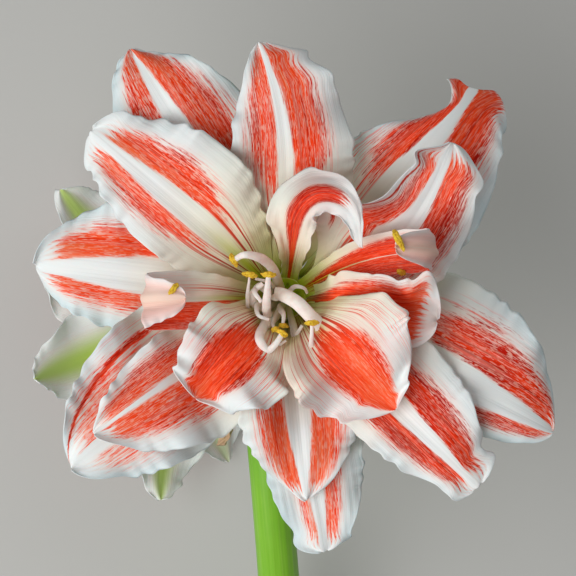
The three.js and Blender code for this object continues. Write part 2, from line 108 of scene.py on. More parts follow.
FRONT_OUTER = [
    Petal(122, 120, (31, -34, 0.62), (31, -16, 0.75), 74, 126, 3.2, 0.5, bands=(0.15, 0.66, 0.75, 0.82, 0.88),
          runs=(0.4, 1.06), deep_and_shade=0.45, lobes=((0, 0.12, -4),)),
    Petal(173, 102, (23, -26), (32, -14), 70, 104, 3.4, 0.48, bands=(0.26, 0.72, 0.82, 0.78, 0.95),
          runs=(0.4, 0.98)),
    Petal(219, 109, (28, -20), (34, 22), 66, 94, 3.8, 0.62, bands=(0.2, 0.8, 0.5, 0.95, 0.6), runs=(0.4, 0.97),
          deep_and_shade=0.2, line=-0.72),
    Petal(279, 106, (22, -14), (20, -18), 78, 112, 3, 0.5, bands=(0.2, 0.62, 0.75, 0.56, 0.6),
          runs=(0.3, 1.0), bumps=((-1, 0.97, 0.03, 5), (1, 0.98, 0.03, 3))),
    Petal(333, 121, (40, -16), (22, -52), 70, 122, 2.6, 0.56, bands=(0.24, 0.8, 0.9, 0.66, 0.8),
          runs=(0.4, 1.04), deep_and_shade=0.85),
    Petal(45, 114, (28, -50, 2.2), (38, -8, 0.62), 70, 124, 3.4, lean=6,
          bands=(0.19, 0.95, 1.05, 0.8, 1.05), runs=(0.5, 1.07), deep_and_shade=0.75, lobes=((-0.65, 0.4, 9),),
          bumps=((1, 0.985, 0.04, 12), (-1, 1.0, 0.06, 12))),
]
FRONT_INNER = [
    Petal(90, 102, (22, -16, 0.8), (29, -30, 0.55), 64, 104, 3.6, lean=21, turn=(0.5, 1.02),
          bands=(0.12, 0.78, 0.78, 0.72, 0.88), runs=(0.4, 1.03), deep_and_shade=0.45,
          bumps=((-1, 0.94, 0.025, 4), (-1, 0.84, 0.035, 3))),
    Petal(140, 102, (21, -20), (30, -16), 64, 110, 3, 0.56, bands=(0.18, 0.75, 0.78, 0.66, 0.92),
          runs=(0.4, 0.98), deep_and_shade=0.35, bumps=((1, 0.97, 0.04, 4), (-1, 0.97, 0.04, 4))),
    Petal(216, 93, (32, -30), (17, -12), 58, 88, 3.4, fold=12, bands=(0.07, 0.72, 0.86, 0.85, 0.78),
          runs=(0.36, 0.99), deep_and_shade=0.35),
    Petal(276, 83, (27, -36), (25, -40), 62, 110, 3, fold=8, bands=(0.2, 0.85, 0.9, 0.8, 0.95),
          runs=(0.45, 0.99), deep_and_shade=0.1, lined=0.8),
    Petal(315, 108, (27, -12), (19, -16), 66, 102, 3.4, 0.56, bands=(0.18, 0.72, 0.98, 0.74, 0.96),
          runs=(0.4, 1.0), deep_and_shade=0.8, bumps=((-1, 0.98, 0.03, 5), (1, 0.98, 0.03, 6), (1, 0.92, 0.015, -2))),
    Petal(17, 88, (32, 64, 1.2), (24, -10), 54, 82, 3.2, 0.5, lean=51,
          bands=(0.2, 0.7, 0.85, 0.85, 0.95), runs=(0.4, 1.0), deep_and_shade=0.75,
          line=0.78, bumps=((1, 0.6, 0.05, 8), (1, 0.94, 0.03, 9), (1, 0.76, 0.07, -7), (-1, 0.93, 0.04, 4))),
]
FRONT_PETALOIDS = [
    Petal(27, 60, (9, 30), (8, 20), 56, -76, 0.6, 0.35, lean=-30, turn=(0.2, 0.8),
          bands=(0.02, 0.85, 1.15, 1.3, 1.0), runs=(0.16, 1.1), deep_and_shade=0.6),
    Petal(182, 56, (12, 12), (11, 10), 66, -105, 0.5, 0.4, bands=(0.1, 1.7, 1.0, 0.9, 0.1),
          runs=(0.26, 1.1), deep_and_shade=0.5),
    Petal(80, 42, (14, -20, 2.2), (8, 60), 48, 105, 2.6, lean=-160, turn=(0.45, 0.98),
          bands=(-0.1, 0.45, 1.1, 0.32, 1.1), runs=(0.1, 0.84), deep_and_shade=0.8),
    Petal(350, 61, (14, 26, 0.3), (16, 8), 62, 84, 2.2, 0.42, bands=(-0.1, 0.9, 1.15, 0.9, 1.1),
          runs=(0.2, 0.95), deep_and_shade=0.25, bumps=((1, 0.9, 0.07, 6),)),
    Petal(229, 54, (26, -22), (21, -26, 0.45), 56, 92, 3.6, bands=(-0.1, 0.5, 1.1, 0.6, 1.15),
          runs=(0.4, 1.04), deep_and_shade=0.5, lined=0.9, bumps=((-1, 0.96, 0.03, 4), (1, 0.93, 0.03, 4))),
    Petal(314, 63, (29, -14, 0.85), (25, -18), 60, 92, 3.6, bands=(-0.1, 0.5, 1.0, 0.5, 1.15),
          runs=(0.42, 1.08), deep_and_shade=0.25, lined=1, bumps=((1, 0.95, 0.02, 3), (-1, 0.86, 0.03, 3))),
]
# az is the whorl's first petal, and ccw and cw share one width
REAR_WHORLS = [
    Petal(-18, 108, (29, -16), (29, -16), 70, 106, 3.4),
    Petal(12, 94, (26, -16), (26, -16), 66, 100, 3.2),
    Petal(-6, 56, (17, -16), (17, -16), 62, 96, 2.4, bands=(0.04, 0.6, 0.95, 0.6, 0.95), runs=(0.3, 1)),
]
REAR_SPREAD = 3


class Strip(NamedTuple):
    """A narrow petal that was a stamen: width, length of the anther across its end, and its line."""

    width: float
    anther: float
    path: list


FRONT_STRIPS = [
    Strip(4, 6, [(-1, 1, 16), (-3, 6, 38), (-5, 11, 52), (-10, 15, 63), (-16, 16, 67), (-20.5, 14, 62)]),
    Strip(1.6, 6, [(-2, -1, 16), (-9, -6, 34), (-14.5, -6, 44), (-15, 1, 57), (-14, 8, 68)]),
    Strip(2, 0, [(-2, 1, 16), (-5, 4, 38), (-7.6, 6, 49), (-12, 7, 52)]),
    Strip(3.6, 6, [(-1, -2, 16), (-5, -8, 38), (-7.5, -6, 54), (-7, 1, 65), (-6.4, 8, 72)]),
    Strip(3.4, 0, [(-2, 0, 16), (-8, -4, 38), (-12.5, -3, 47), (-13, 1, 53), (-9, 5, 57)]),
    Strip(4, 5, [(0, -3, 16), (-5, -9, 42), (-9, -13, 54), (-10, -18, 60), (-7, -22, 60),
                 (-3.5, -19, 61), (-1, -15, 61)]),
    Strip(5.6, 0, [(0, 0, 16), (-4, 1, 46), (0, 0, 57), (5, -3, 61), (10, -8, 61), (14, -12, 59),
                   (14, -16, 58), (10.5, -20, 57), (7, -24, 58)]),
    Strip(2.6, 6, [(1, -3, 16), (4, -13, 42), (7, -21, 55), (10, -21, 62), (10.6, -16, 65),
                   (10.6, -11, 67)]),
    Strip(2.4, 0, [(1, -2, 16), (3, -12, 38), (4, -16, 45), (7, -12, 52)]),
    Strip(2, 0, [(1, 1, 16), (1.5, 2, 42), (5, 4, 50), (8, 3, 50), (9, 1, 47)]),
    Strip(2.6, 4, [(0, -2, 16), (-2, -5, 42), (-0.5, -8, 49), (-0.8, -12, 50)]),
    Strip(2.4, 0, [(-2, 0, 16), (-8, -3, 40), (-11.5, -4, 50), (-10.5, -8, 54), (-6.5, -9.5, 53)]),
    Strip(3, 0, [(-1, 1, 16), (-7, 2, 42), (-10.5, 4, 52), (-12, 1, 58), (-9.5, -2.5, 58)]),
    Strip(1.8, 0, [(-2, -2, 16), (-9, -9, 40), (-8.5, -16, 50), (-4, -20.5, 55), (0.5, -18, 55)]),
    Strip(2, 3, [(0, -1, 16), (-3, -6, 38), (-5, -11, 47), (-4, -13.5, 53)]),
]
# anthers on the folded ends of the narrow petals
FRONT_ANTHERS = [
    [(40.9, 24, 101), (41.9, 21.4, 103), (43.4, 18.6, 102.8), (44.9, 15.4, 101.8)],
    [(44.2, 9.8, 70.3), (45.8, 8.9, 69.7), (47.6, 8.2, 69)],
    [(-45.4, 0, 76.4), (-43.6, 2, 76.5), (-41.8, 4.6, 75.4)],
]
# in the rear bloom a strip's line has distances from the axis and heights
REAR_STRIP = Strip(2, 7, [(2, 16), (5, 30), (9, 42), (14, 52)])
REAR_STRIP_TURNS = (40, 130, 220, 310)


class Bloom(NamedTuple):
    """Where a bloom's base is, the way it faces, and its scale."""

    base: tuple
    faces: tuple
    scale: float


FRONT = Bloom((0, -2, 147), (0, 0.03, 1), 1)
REAR = Bloom((-28, -9, 61), (-0.6, -0.1, -0.8), 0.82)

TUBE_RADIUS, TUBE_FLARE, TUBE_LENGTH, TUBE_WALL, INNER_WALL = 7.6, 14, 14, 1.5, 0.9
WHORL_RADIUS_STEP, WHORL_HEIGHT_STEP = 1.25, 3
TUBE_SHARE, FLOOR_SHARE, TUBE_SIDES = 0.1, 0.03, 96  # how far up a petal its top and its floor are
LIP = 0.5  # how far the tube's rim stands out
CLAW = 4.6  # half width of a petal where it leaves the tube
LAY_GAP = (2.5, 2.8, 4.4)  # a petal that lies over another keeps this far in front of it
PRESSED_HEIGHT, GROUND_STEP, LAST_WHORL = 0.4, 2.5, 2
WAVES, LANES = 4.2, 30  # edge waves along a petal, and streak lanes across half of it
SHEET_RIB, CHANNEL, DENT = 0.09, 0.9, 0.9  # heights of the ribs, and depths
# rows and columns of each whorl's petals
FRONT_GRIDS, REAR_GRIDS = ((104, 56), (104, 56), (80, 44)), ((72, 36), (72, 36), (48, 24))

SCAPE_TOP, SCAPE_BEND_HIGH = (-12, -30, 100), (-4, -120, 88)
SCAPE_BEND_LOW, SCAPE_TOUCH, SCAPE_REST = (2, -195), (0, -265), 50
SCAPE_TOP_RADIUS, SCAPE_END_RADIUS, SCAPE_SIDES = 9.2, 10.6, 16
RIBS, RIB_HEIGHT, OVERRUN = 18, 0.12, 6  # the bore's line runs on past the cut
LOBE_DEPTH = 0.07  # share of the ovary's radius
# points on the lines
SCAPE_POINTS, PEDICEL_POINTS, STRIP_POINTS, ANTHER_POINTS = 160, 64, 60, 17
BEND_POINTS, FINE_POINTS, VALVE_GRID = 200, 700, (61, 41)
# of the filaments: depth and thickness as shares of half their width, and what bends them a little
CHANNEL_DEPTH, RIBBON_THICKNESS, WOBBLE = 0.3, 0.17, 0.5
LUMPS, POLLEN_DENSITY = 1.6, 3.2e6  # clumps of pollen on a square metre
PEDICEL_APART, PEDICEL_BEND, PEDICEL_STRAIGHT, SEAT = 9, 16, 30, 0.3
VALVE_LENGTH, VALVE_HALF, VALVE_FROM, VALVE_SPREAD, VALVE_DROOP = 36, 10, 5, 12, 16
VALVE_OFF, VALVE_THICKNESS = 0.8, 0.44

CAMERA_AT, CAMERA_LENS = (1.2, 2.8, 900), 108.3
LAMPS_AIM, KEY_AT, FILL_AT = (0, 0, 170), (-600, -300, 940), (600, 600, 900)
KEY_SIZE, FILL_SIZE = 1.1, 1.0  # metres

# ---------------------------------------------------------------- colours

FILAMENT_PINK, FILAMENT_FOOT, RIPE_POLLEN = "#F0CFC6", "#D9D08A", "#D8A41E"
STALK_SHADE, VESSELS, FLOOR_SHADE = "#6FAE2A", "#9FB35A", "#B4B3B0"
PAPER_PINK, PAPER_FOOT = "#D8A79A", "#9DA65A"
ROOM_COLOUR = (0.94, 0.97, 1.0, 1.0)


def linear(code):
    """An sRGB hex colour as linear values."""
    parts = [int(code[i : i + 2], 16) / 255 for i in (1, 3, 5)]
    return tuple(c / 12.92 if c <= 0.04045 else ((c + 0.055) / 1.055) ** 2.4 for c in parts)


def colour(name, code, description):
    return FloatVectorProperty(
        name=name, description=description, subtype="COLOR", size=3, min=0, max=1, default=linear(code)
    )


def length(name, size, description):
    return FloatProperty(name=name, description=description, unit="LENGTH", min=0, default=size * MM)


class PetalFinish(bpy.types.PropertyGroup):
    """What the petals of both blooms share."""

    thickness: length("Thickness", 0.9, "Thickness at the midrib")
    edge_thickness: length("Edge thickness", 0.3, "Thickness at the edge")
    crimp_height: length("Crimp height", 1.2, "Height of the small crimps along the edge")
    crimp_length: length("Crimp length", 8.5, "Distance between two crimps")
    streak_width: length("Streak width", 0.75, "Width of one coloured streak")
    white: colour("White", "#F0F3F1", "Ground colour of a petal")
    cool: colour("Cool white", "#D2E1E3", "Ground towards the edges")
    warm: colour("Warm white", "#EEE6C6", "Ground towards the throat")
    blush: colour("Blush", "#F6CEC2", "Backs of the petaloids, and clouds on their fronts")
    apricot: colour("Apricot", "#FBAE8C", "Ground between the streaks of a band")
    salmon: colour("Salmon", "#FF6E40", "Palest red, along the stripe and at the tips")
    scarlet: colour("Scarlet", "#FF3E06", "Main colour of the bands")
    # crimson also carries the painted shade of the petals that lie in shade
    crimson: colour("Crimson", "#BE1404", "Deeper red in the bands")
    line: colour("Lines", "#9C2410", "Fine lines in the throat")
    throat: colour("Throat", "#BBD02C", "Yellow-green of the throat and of the midrib's base")
    rib: colour("Back rib", "#B2D22E", "Green line along the back of a tepal")


class GreenFinish(bpy.types.PropertyGroup):
    """Stalk, pedicels and bracts."""

    top_radius: length("Top radius", SCAPE_TOP_RADIUS, "Radius of the stalk under the blooms")
    end_radius: length("End radius", SCAPE_END_RADIUS, "Radius of the stalk at its cut end")
    wall: length("Wall", 3.2, "Wall of the hollow stalk")
    solid_top: length("Solid top", 16, "Length of stalk under the blooms that has no bore")
    pedicel_radius: length("Pedicel radius", 4.1, "Radius of a pedicel")
    ovary_radius: length("Ovary radius", 7.2, "Radius of the three-lobed ovary")
    green: colour("Green", "#82C02A", "Stalk and pedicels")
    pale_green: colour("Pale green", "#9CD04A", "Stripes of the stalk")
    pith: colour("Pith", "#E3E8C4", "Cut face and bore of the stalk")
    paper: colour("Paper", "#C2A578", "Withered bracts")
    paper_vein: colour("Bract veins", "#8E6A42", "Veins of the withered bracts")


class StamenFinish(bpy.types.PropertyGroup):
    """Filaments and anthers."""

    anther_radius: length("Anther radius", 1.15, "Half the thickness of an anther")
    pollen_radius: length("Pollen radius", 0.16, "Radius of one clump of pollen")
    pollen_seed: IntProperty(name="Pollen seed", description="Seed of the pollen's places", default=4)
    filament: colour("Filament", "#FBF1E8", "Filaments and narrow petals")
    anther: colour("Anther", "#F0D03C", "Anthers and pollen")


class StageSettings(bpy.types.PropertyGroup):
    """Floor and lamps."""

    floor_size: length("Floor size", 4000, "Side of the floor")
    floor: colour("Floor", "#C6C5C1", "Plain pale floor")
    key: FloatProperty(name="Key lamp", description="Power of the main lamp", unit="POWER", default=11.5)
    fill: FloatProperty(name="Fill lamp", description="Power of the fill lamp", unit="POWER", default=2.0)
    sky: FloatProperty(name="Room light", description="Strength of the even light", default=0.16, min=0)


class AmaryllisSettings(bpy.types.PropertyGroup):
    petals: PointerProperty(type=PetalFinish)
    greens: PointerProperty(type=GreenFinish)
    stamens: PointerProperty(type=StamenFinish)
    stage: PointerProperty(type=StageSettings)


# ---------------------------------------------------------------- geometry helpers


def smooth(start, stop, x):
    """0 before start, 1 after stop, and a soft step between."""
    t = np.clip((np.asarray(x, float) - start) / (stop - start), 0, 1)
    return t * t * (3 - 2 * t)


def mix(a, b, share):
    return a + (b - a) * share


def bell(x, wide):
    return np.exp(-((x / wide) ** 2))


def unit(vectors):
    return vectors / np.maximum(np.linalg.norm(vectors, axis=-1, keepdims=True), 1e-9)


def bezier(points, count):
    a, b, c, d = (np.array(p, float) for p in points)
    t = np.linspace(0, 1, count)[:, None]
    return a * (1 - t) ** 3 + 3 * b * t * (1 - t) ** 2 + 3 * c * t**2 * (1 - t) + d * t**3


def even(points, count):
    """Points at even distances along a polyline."""
    gone = np.concatenate([[0], np.cumsum(np.linalg.norm(np.diff(points, axis=0), axis=1))])
    at = np.linspace(0, gone[-1], count)
    return np.stack([np.interp(at, gone, points[:, k]) for k in range(3)], 1)


def through(points, count):
    """An even line through the points, as a centripetal Catmull-Rom curve."""
    points = [np.array(p, float) for p in points]
    ends = [2 * points[0] - points[1], *points, 2 * points[-1] - points[-2]]
    line = []
    for a, b, c, d in zip(ends, ends[1:], ends[2:], ends[3:]):
        ta, tb, tc = (np.linalg.norm(q - p) ** 0.5 for p, q in ((a, b), (b, c), (c, d)))
        start = tb * ((b - a) / ta - (c - a) / (ta + tb) + (c - b) / tb)
        stop = tb * ((c - b) / tb - (d - b) / (tb + tc) + (d - c) / tc)
        line.append(bezier([b, b + start / 3, c - stop / 3, c], 24)[:-1])
    return even(np.concatenate([*line, points[-1][None]]), count)


def scape_line(count, beyond=0):
    """The middle of the stalk from the umbel to its cut end, and on past it."""
    lie = SCAPE_END_RADIUS * math.cos(math.pi / SCAPE_SIDES)
    low, touch = np.array([*SCAPE_BEND_LOW, lie]), np.array([*SCAPE_TOUCH, lie])
    end = touch + (touch - low) / np.linalg.norm(touch - low) * (SCAPE_REST + beyond)
    bend = bezier([SCAPE_TOP, SCAPE_BEND_HIGH, low, touch], BEND_POINTS)
    return even(np.concatenate([bend, end[None]]), count)


def row_offset():
    """How far the row frame is from the flower's own, mm: the middle of the stalk's cut end shows it."""
    ends = np.array([v.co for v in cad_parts["scape"].data.vertices]) / MM
    ends = ends[ends[:, 1] < ends[:, 1].min() + 1]
    measured = (ends.min(0) + ends.max(0)) / 2
    return np.array([*(measured - scape_line(2)[-1])[:2], 0])


OFFSET = row_offset()


def bloom_matrix(bloom):
    """Carries a bloom's frame, in which it faces +Z, to the flower's own."""
    z = unit(np.array(bloom.faces, float))
    y = unit(np.array([0, 1, 0]) - z * z[1])
    matrix = np.eye(4)
    matrix[:3, :3] = np.stack([np.cross(y, z), y, z], 1) * bloom.scale
    matrix[:3, 3] = bloom.base
    return matrix


def carry(matrix, points):
    return points @ matrix[:3, :3].T + matrix[:3, 3]


def to_row(points):
    """From the flower's own frame in mm to the row frame in metres."""
    return (points + OFFSET) * MM


# ---------------------------------------------------------------- petals


def width_at(petal, flank, u):
    half, blunt = flank[0], flank[2] if len(flank) > 2 else petal.blunt
    claw = min(CLAW, half) * (1 - smooth(0, 0.5, u))
    blade = half * np.maximum(np.sin(np.pi * u**1.3), 0) ** blunt
    return np.maximum(0.7, claw + blade * smooth(0.06, 0.5, u) + 0.7 * u)


def slope(petal, u):
    opened = TUBE_FLARE + (petal.open - TUBE_FLARE) * smooth(0.06, 0.46, u)
    return np.radians(opened + (petal.tip - petal.open) * smooth(0.56, 1.06, u))


def midrib(petal, size, whorl, rows):
    """Share of the length, place and axes at each row. Rows lie closer together towards the tip."""
    fine = 2
    share = 1 - (1 - np.linspace(0, 1, rows * fine + 1)) ** 1.3
    heading = np.radians(petal.az + petal.lean * smooth(*petal.turn, share))
    theta = slope(petal, share)
    flat = np.stack([np.cos(heading), np.sin(heading), 0 * heading], -1)
    along = flat * np.sin(theta)[:, None] + np.array([0, 0, 1]) * np.cos(theta)[:, None]
    start = (TUBE_RADIUS - WHORL_RADIUS_STEP * whorl) * flat[0] + [0, 0, WHORL_HEIGHT_STEP * whorl]
    steps = (along[:-1] + along[1:]) / 2 * (size * np.diff(share))[:, None]
    at = start + np.concatenate([np.zeros((1, 3)), np.cumsum(steps, 0)])
    side = np.stack([-np.sin(heading), np.cos(heading), 0 * heading], -1)
    pick = slice(None, None, fine)
    return share[pick], at[pick], theta[pick], along[pick], side[pick], np.cross(along, side)[pick]


def band_looks(petal, u, v):
    """How full of red each point is, how dark the red is, in part painted shade, and how many throat lines it
    has.
    """
    stripe, *bands = petal.bands
    ends, full = (np.where(v > 0, ccw, cw) for ccw, cw in zip(bands[:2], bands[2:]))
    out = np.abs(v)
    near = stripe * (1 - 0.4 * smooth(0.5, 1, u)) * smooth(0.1, 0.45, u)
    ends = ends * (0.65 + 0.35 * smooth(0.3, 0.65, u))
    begins, stops = petal.runs[0] + 0.32 * out, petal.runs[1]
    across = smooth(near - 0.01, 1.25 * near + 0.025, out) * (1 - smooth(0.55 * ends, 1.2 * ends, out))
    along = smooth(begins - 0.16, begins + 0.12, u) * (1 - smooth(stops - 0.09, stops, u + 0.02 * np.sin(40 * v)))
    wide = np.maximum(ends, petal.lined)
    lines = smooth(near - 0.01, near + 0.04, out) * (1 - smooth(0.75 * wide, 1.15 * wide, out))
    lines = lines * smooth(0.1, 0.2, u) * (1 - smooth(begins, begins + 0.24, u))
    # palest along the stripe and at the tip, darkest where it thins out and down in the throat, on top of the
    # petal's own darkness, which is mostly painted shade
    deep_and_shade = petal.deep_and_shade - 0.22 + 0.35 * smooth(near, 0.9 * ends, out) - 0.4 * smooth(0.75, 1, u)
    deep_and_shade = np.maximum(deep_and_shade, 0.85 * (1 - smooth(0.25, 0.5, u)))
    red = full * across * along
    if petal.line:
        line = bell(v - petal.line, 0.035) * smooth(0.45, 0.6, u)
        red, deep_and_shade = np.maximum(red, 1.5 * line), np.maximum(deep_and_shade, 0.9 * smooth(0.2, 0.6, line))
    return np.stack(np.broadcast_arrays(red, deep_and_shade, lines), -1)


def length_of(petal, whorl):
    """The length that gives a petal its reach."""
    size = petal.reach * 1.2
    for _ in range(5):
        at = midrib(petal, size, whorl, 72)[1]
        size *= petal.reach / np.hypot(at[:, 0], at[:, 1]).max()
    return size


def petal_sheet(petal, whorl, order, rows, columns, finish):
    """The middle surface of a petal in its bloom's frame, with what its material reads."""
    size = length_of(petal, whorl)
    share, at, theta, along, side, front = midrib(petal, size, whorl, rows)
    u, v = share[:, None], np.linspace(-1, 1, columns + 1)[None, :]
    theta, radius = theta[:, None], np.maximum(np.hypot(at[:, 0], at[:, 1]), 4)[:, None]
    left = v > 0
    # streaks keep to lanes, which run together at the base, and less so at the tip
    half, widest = (
        np.where(left, width_at(petal, petal.ccw, place), width_at(petal, petal.cw, place))
        for place in (u, 0.65)
    )
    lane = LANES * v * mix(1, (half / widest) ** 0.6, smooth(0.55, 0.75, u))
    for flank, place, wide, far in petal.bumps:
        half = half + far * (np.sign(v) == flank) * bell(u - place, wide)
    edge = np.radians(np.where(left, petal.ccw[1], petal.cw[1]))
    own = smooth(0.16, 0.5, u)
    curl = half * np.cos(theta) / radius * (1 - own) + edge * own
    curl = np.where(np.abs(curl) < 1e-3, 1e-3, curl)
    seed = order + 6 * whorl + 0.37
    # small crimps near the edge, in an uneven beat
    beat = 2 * np.pi * u * size * MM / finish.crimp_length + 2 * left + seed
    beat += 2.6 * np.sin(13 * u + seed) + 1.3 * np.sin(31 * u + 2 * seed + left)
    rim = smooth(0.1, 0.4, u) * (0.2 + 0.8 * np.sin(7 * u + 2 * seed + 3 * left) ** 2)
    crimp = finish.crimp_height / MM * rim * (0.3 if petal.tip < 0 else 1)
    sideways = half * np.sin(curl * v) / curl
    sideways += np.sign(v) * crimp * 0.7 * np.abs(v) ** 8 * np.sin(0.83 * beat + 1)
    forward = half * (1 - np.cos(curl * v)) / curl
    forward += half * math.tan(math.radians(petal.fold)) * own * (np.hypot(v, 0.15) - 0.15)
    wave = np.sin(2 * np.pi * WAVES * u + 2.4 * order + 1.9 * np.sign(v))
    forward += petal.wave * wave * np.abs(v) ** 2.2 * smooth(0.2, 0.5, u)
    forward += crimp * np.abs(v) ** 5 * np.sin(beat)
    # ribs along it, a channel along the midrib, and shallow dents
    forward += SHEET_RIB * np.sin(v * half * 1.9 + seed) * smooth(0.15, 0.4, u) * (1 - smooth(0.8, 1, u))
    forward -= CHANNEL * bell(v * half, 2.6) * smooth(0.1, 0.3, u) * (1 - smooth(0.7, 1, u))
    dent = np.sin(6.3 * (1.1 * u + 0.5 * v) + seed) * np.sin(6.3 * (0.7 * u - 0.8 * v) + 1.3 * seed)
    forward += DENT * dent * smooth(0.3, 0.6, u)
    ahead = sum(far * bell(v - place, wide) for place, wide, far in petal.lobes)
    ahead = ahead * smooth(0.72, 1, u)
    points = at[:, None] + sum(
        np.broadcast_to(amount, (len(share), columns + 1))[..., None] * axis[:, None]
        for amount, axis in ((sideways, side), (forward, front), (ahead, along))
    )
    thin = np.maximum(np.abs(v) ** 1.5, smooth(0.85, 1, u))
    return {
        "points": points,
        "half_thick": mix(finish.thickness, finish.edge_thickness, thin) / MM / 2,
        "petal": np.stack(np.broadcast_arrays(u, v, lane + 31.7 * seed), -1),
        "uv": np.stack(np.broadcast_arrays(v * half * MM, u * size * MM), -1),
        "bands": band_looks(petal, u, v),
    }


class Relief:
    """How high the petals laid so far come, seen along the bloom's axis, on a square grid."""

    reach, cell, near, nothing = 180, 1.5, 5, -500.0  # mm; nothing is the height of a bare cell

    def __init__(self):
        self.top = np.full((int(2 * self.reach / self.cell),) * 2, self.nothing)

    def _cells(self, points):
        index = ((points[..., :2] + self.reach) / self.cell).astype(int)
        return np.clip(index, 0, len(self.top) - 1)

    def lay(self, points):
        cells = self._cells(points)
        np.maximum.at(self.top, (cells[..., 0], cells[..., 1]), points[..., 2])

    def under(self, points):
        """The highest point laid within a few millimetres of each point."""
        span = int(self.near / self.cell)
        wide = self.top.copy()
        for i in range(-span, span + 1):
            for j in range(-span, span + 1):
                if i * i + j * j <= (span + 0.4) ** 2:
                    wide = np.maximum(wide, np.roll(self.top, (i, j), (0, 1)))
        cells = self._cells(points)
        return wide[cells[..., 0], cells[..., 1]]


def lay_over(points, relief, gap, knots=(12, 8)):
    """Lifts a petal along the bloom's axis, so that it passes in front of those laid before."""
    rows, columns = points.shape[0] - 1, points.shape[1] - 1
    share = np.linspace(0, 1, rows + 1)
    free = (smooth(0.2, 0.34, share) * (share >= 0.2))[:, None]
    need = np.maximum(0, relief.under(points) + gap - points[..., 2]) * free
    lift = np.zeros((knots[0] + 1, knots[1] + 1))
    for i in range(knots[0] + 1):
        for j in range(knots[1] + 1):
            r, c, dr, dc = i * rows / knots[0], j * columns / knots[1], rows / knots[0], columns / knots[1]
            lift[i, j] = need[
                max(0, round(r - 0.6 * dr)) : round(r + 0.6 * dr) + 1,
                max(0, round(c - 0.6 * dc)) : round(c + 0.6 * dc) + 1,
            ].max()
    for _ in range(2):
        wide = np.pad(lift, 1, mode="edge")
        around = wide[:-2, 1:-1] + wide[2:, 1:-1] + wide[1:-1, :-2] + wide[1:-1, 2:]
        lift = np.maximum(lift, (lift + around) / 5)
    blend = []
    for count, many in ((rows, knots[0]), (columns, knots[1])):
        apart = np.linspace(0, many, count + 1)[:, None] - np.arange(many + 1)
        weight = bell(apart, 0.75)
        blend.append(weight / weight.sum(1, keepdims=True))
    lifted = points.copy()
    lifted[..., 2] += blend[0] @ lift @ blend[1].T * smooth(0.16, 0.3, share)[:, None]
    return lifted


def pressed(points, whorl):
    """What would sink into the floor is bent to lie along it, in the flower's own frame."""
    free = smooth(0.66, 0.88, np.linspace(0, 1, len(points)))
    low = PRESSED_HEIGHT + (LAST_WHORL - whorl) * GROUND_STEP * (1 - free)
    points[..., 2] = np.maximum(points[..., 2], low[:, None])
    return points


def shell(sheet):
    """Vertices, faces and attributes of a closed thin shell round a sheet."""
    points = sheet["points"]
    rows, columns = points.shape[0] - 1, points.shape[1] - 1
    normal = unit(np.cross(np.gradient(points, axis=0), np.gradient(points, axis=1)))
    offset = normal * np.broadcast_to(sheet["half_thick"], points.shape[:2])[..., None]
    vertices = np.concatenate([(points + offset).reshape(-1, 3), (points - offset).reshape(-1, 3)])
    under = (rows + 1) * (columns + 1)
    index = np.arange(under).reshape(rows + 1, columns + 1)
    a, b, c, d = index[:-1, :-1], index[1:, :-1], index[1:, 1:], index[:-1, 1:]
    front = np.stack([a, b, c, d], -1).reshape(-1, 4)
    rim = np.concatenate([index[0, :-1], index[:-1, -1], index[-1, :0:-1], index[:0:-1, 0]])
    rim = np.stack([rim, np.roll(rim, -1)], 1)
    wall = np.stack([rim[:, 0], rim[:, 1], rim[:, 1] + under, rim[:, 0] + under], 1)
    faces = np.concatenate([front, front[:, ::-1] + under, wall])
    twice = {key: np.tile(sheet[key].reshape(under, -1), (2, 1)) for key in ("petal", "bands", "uv")}
    twice["side"] = np.repeat([1.0, 0.0], under)
    return vertices, faces, twice


def cup(whorl, matrix, petals):
    """The short tube that a whorl grows from, with its floor, in the flower's own frame.

    It is marked as the petals are, with the midrib of each running down it.
    """
    radius, foot, around = TUBE_RADIUS - WHORL_RADIUS_STEP * whorl, WHORL_HEIGHT_STEP * whorl, TUBE_SIDES
    half = (INNER_WALL if whorl else TUBE_WALL) / 2
    flare = math.tan(math.radians(TUBE_FLARE))
    floor, top, widen = foot + WHORL_HEIGHT_STEP - 0.5, foot + TUBE_LENGTH, TUBE_LENGTH * flare
    inner = radius - half + (floor - foot) * flare
    line = [(radius + half, foot), (radius + LIP + widen, top), (radius - half + widen, top), (inner, floor)]
    turn = np.linspace(0, 2 * np.pi, around, endpoint=False)
    ring = np.stack([np.cos(turn), np.sin(turn)], 1)
    rings = [np.column_stack([ring * r, np.full(around, float(h))]) for r, h in line]
    vertices = np.concatenate([*rings, [[0, 0, foot], [0, 0, floor]]])
    count, here, beside = len(vertices), np.arange(around), (np.arange(around) + 1) % around
    starts = [k * around for k in range(len(line))]
    faces = [
        np.stack([low + here, low + beside, high + beside, high + here], 1)
        for low, high in zip(starts, starts[1:])
    ]
    faces.append(np.stack([beside, here, np.full(around, count - 2)], 1))
    faces.append(np.stack([starts[-1] + here, starts[-1] + beside, np.full(around, count - 1)], 1))
    aside = [np.angle(np.exp(1j * (turn - math.radians(petal.az)))) for petal in petals]
    v = np.append(np.tile(np.clip(np.abs(aside).min(0) / (np.pi / 6), 0, 1), len(line)), [1, 1])
    u = np.append(np.repeat([0, TUBE_SHARE, TUBE_SHARE, FLOOR_SHARE], around), [0, FLOOR_SHARE])
    looks = {
        "petal": np.column_stack([u, v, LANES * v]),
        "uv": np.column_stack([np.zeros(count), vertices[:, 2] * MM]),
        "side": np.repeat([0.0, 1.0], [2 * around, count - 2 * around]),
        "bands": np.zeros((count, 3)),
    }
    return carry(matrix, vertices), faces, looks


def placed(name, data):
    """A new object in the scene."""
    made = bpy.data.objects.new(name, data)
    bpy.context.collection.objects.link(made)
    return made


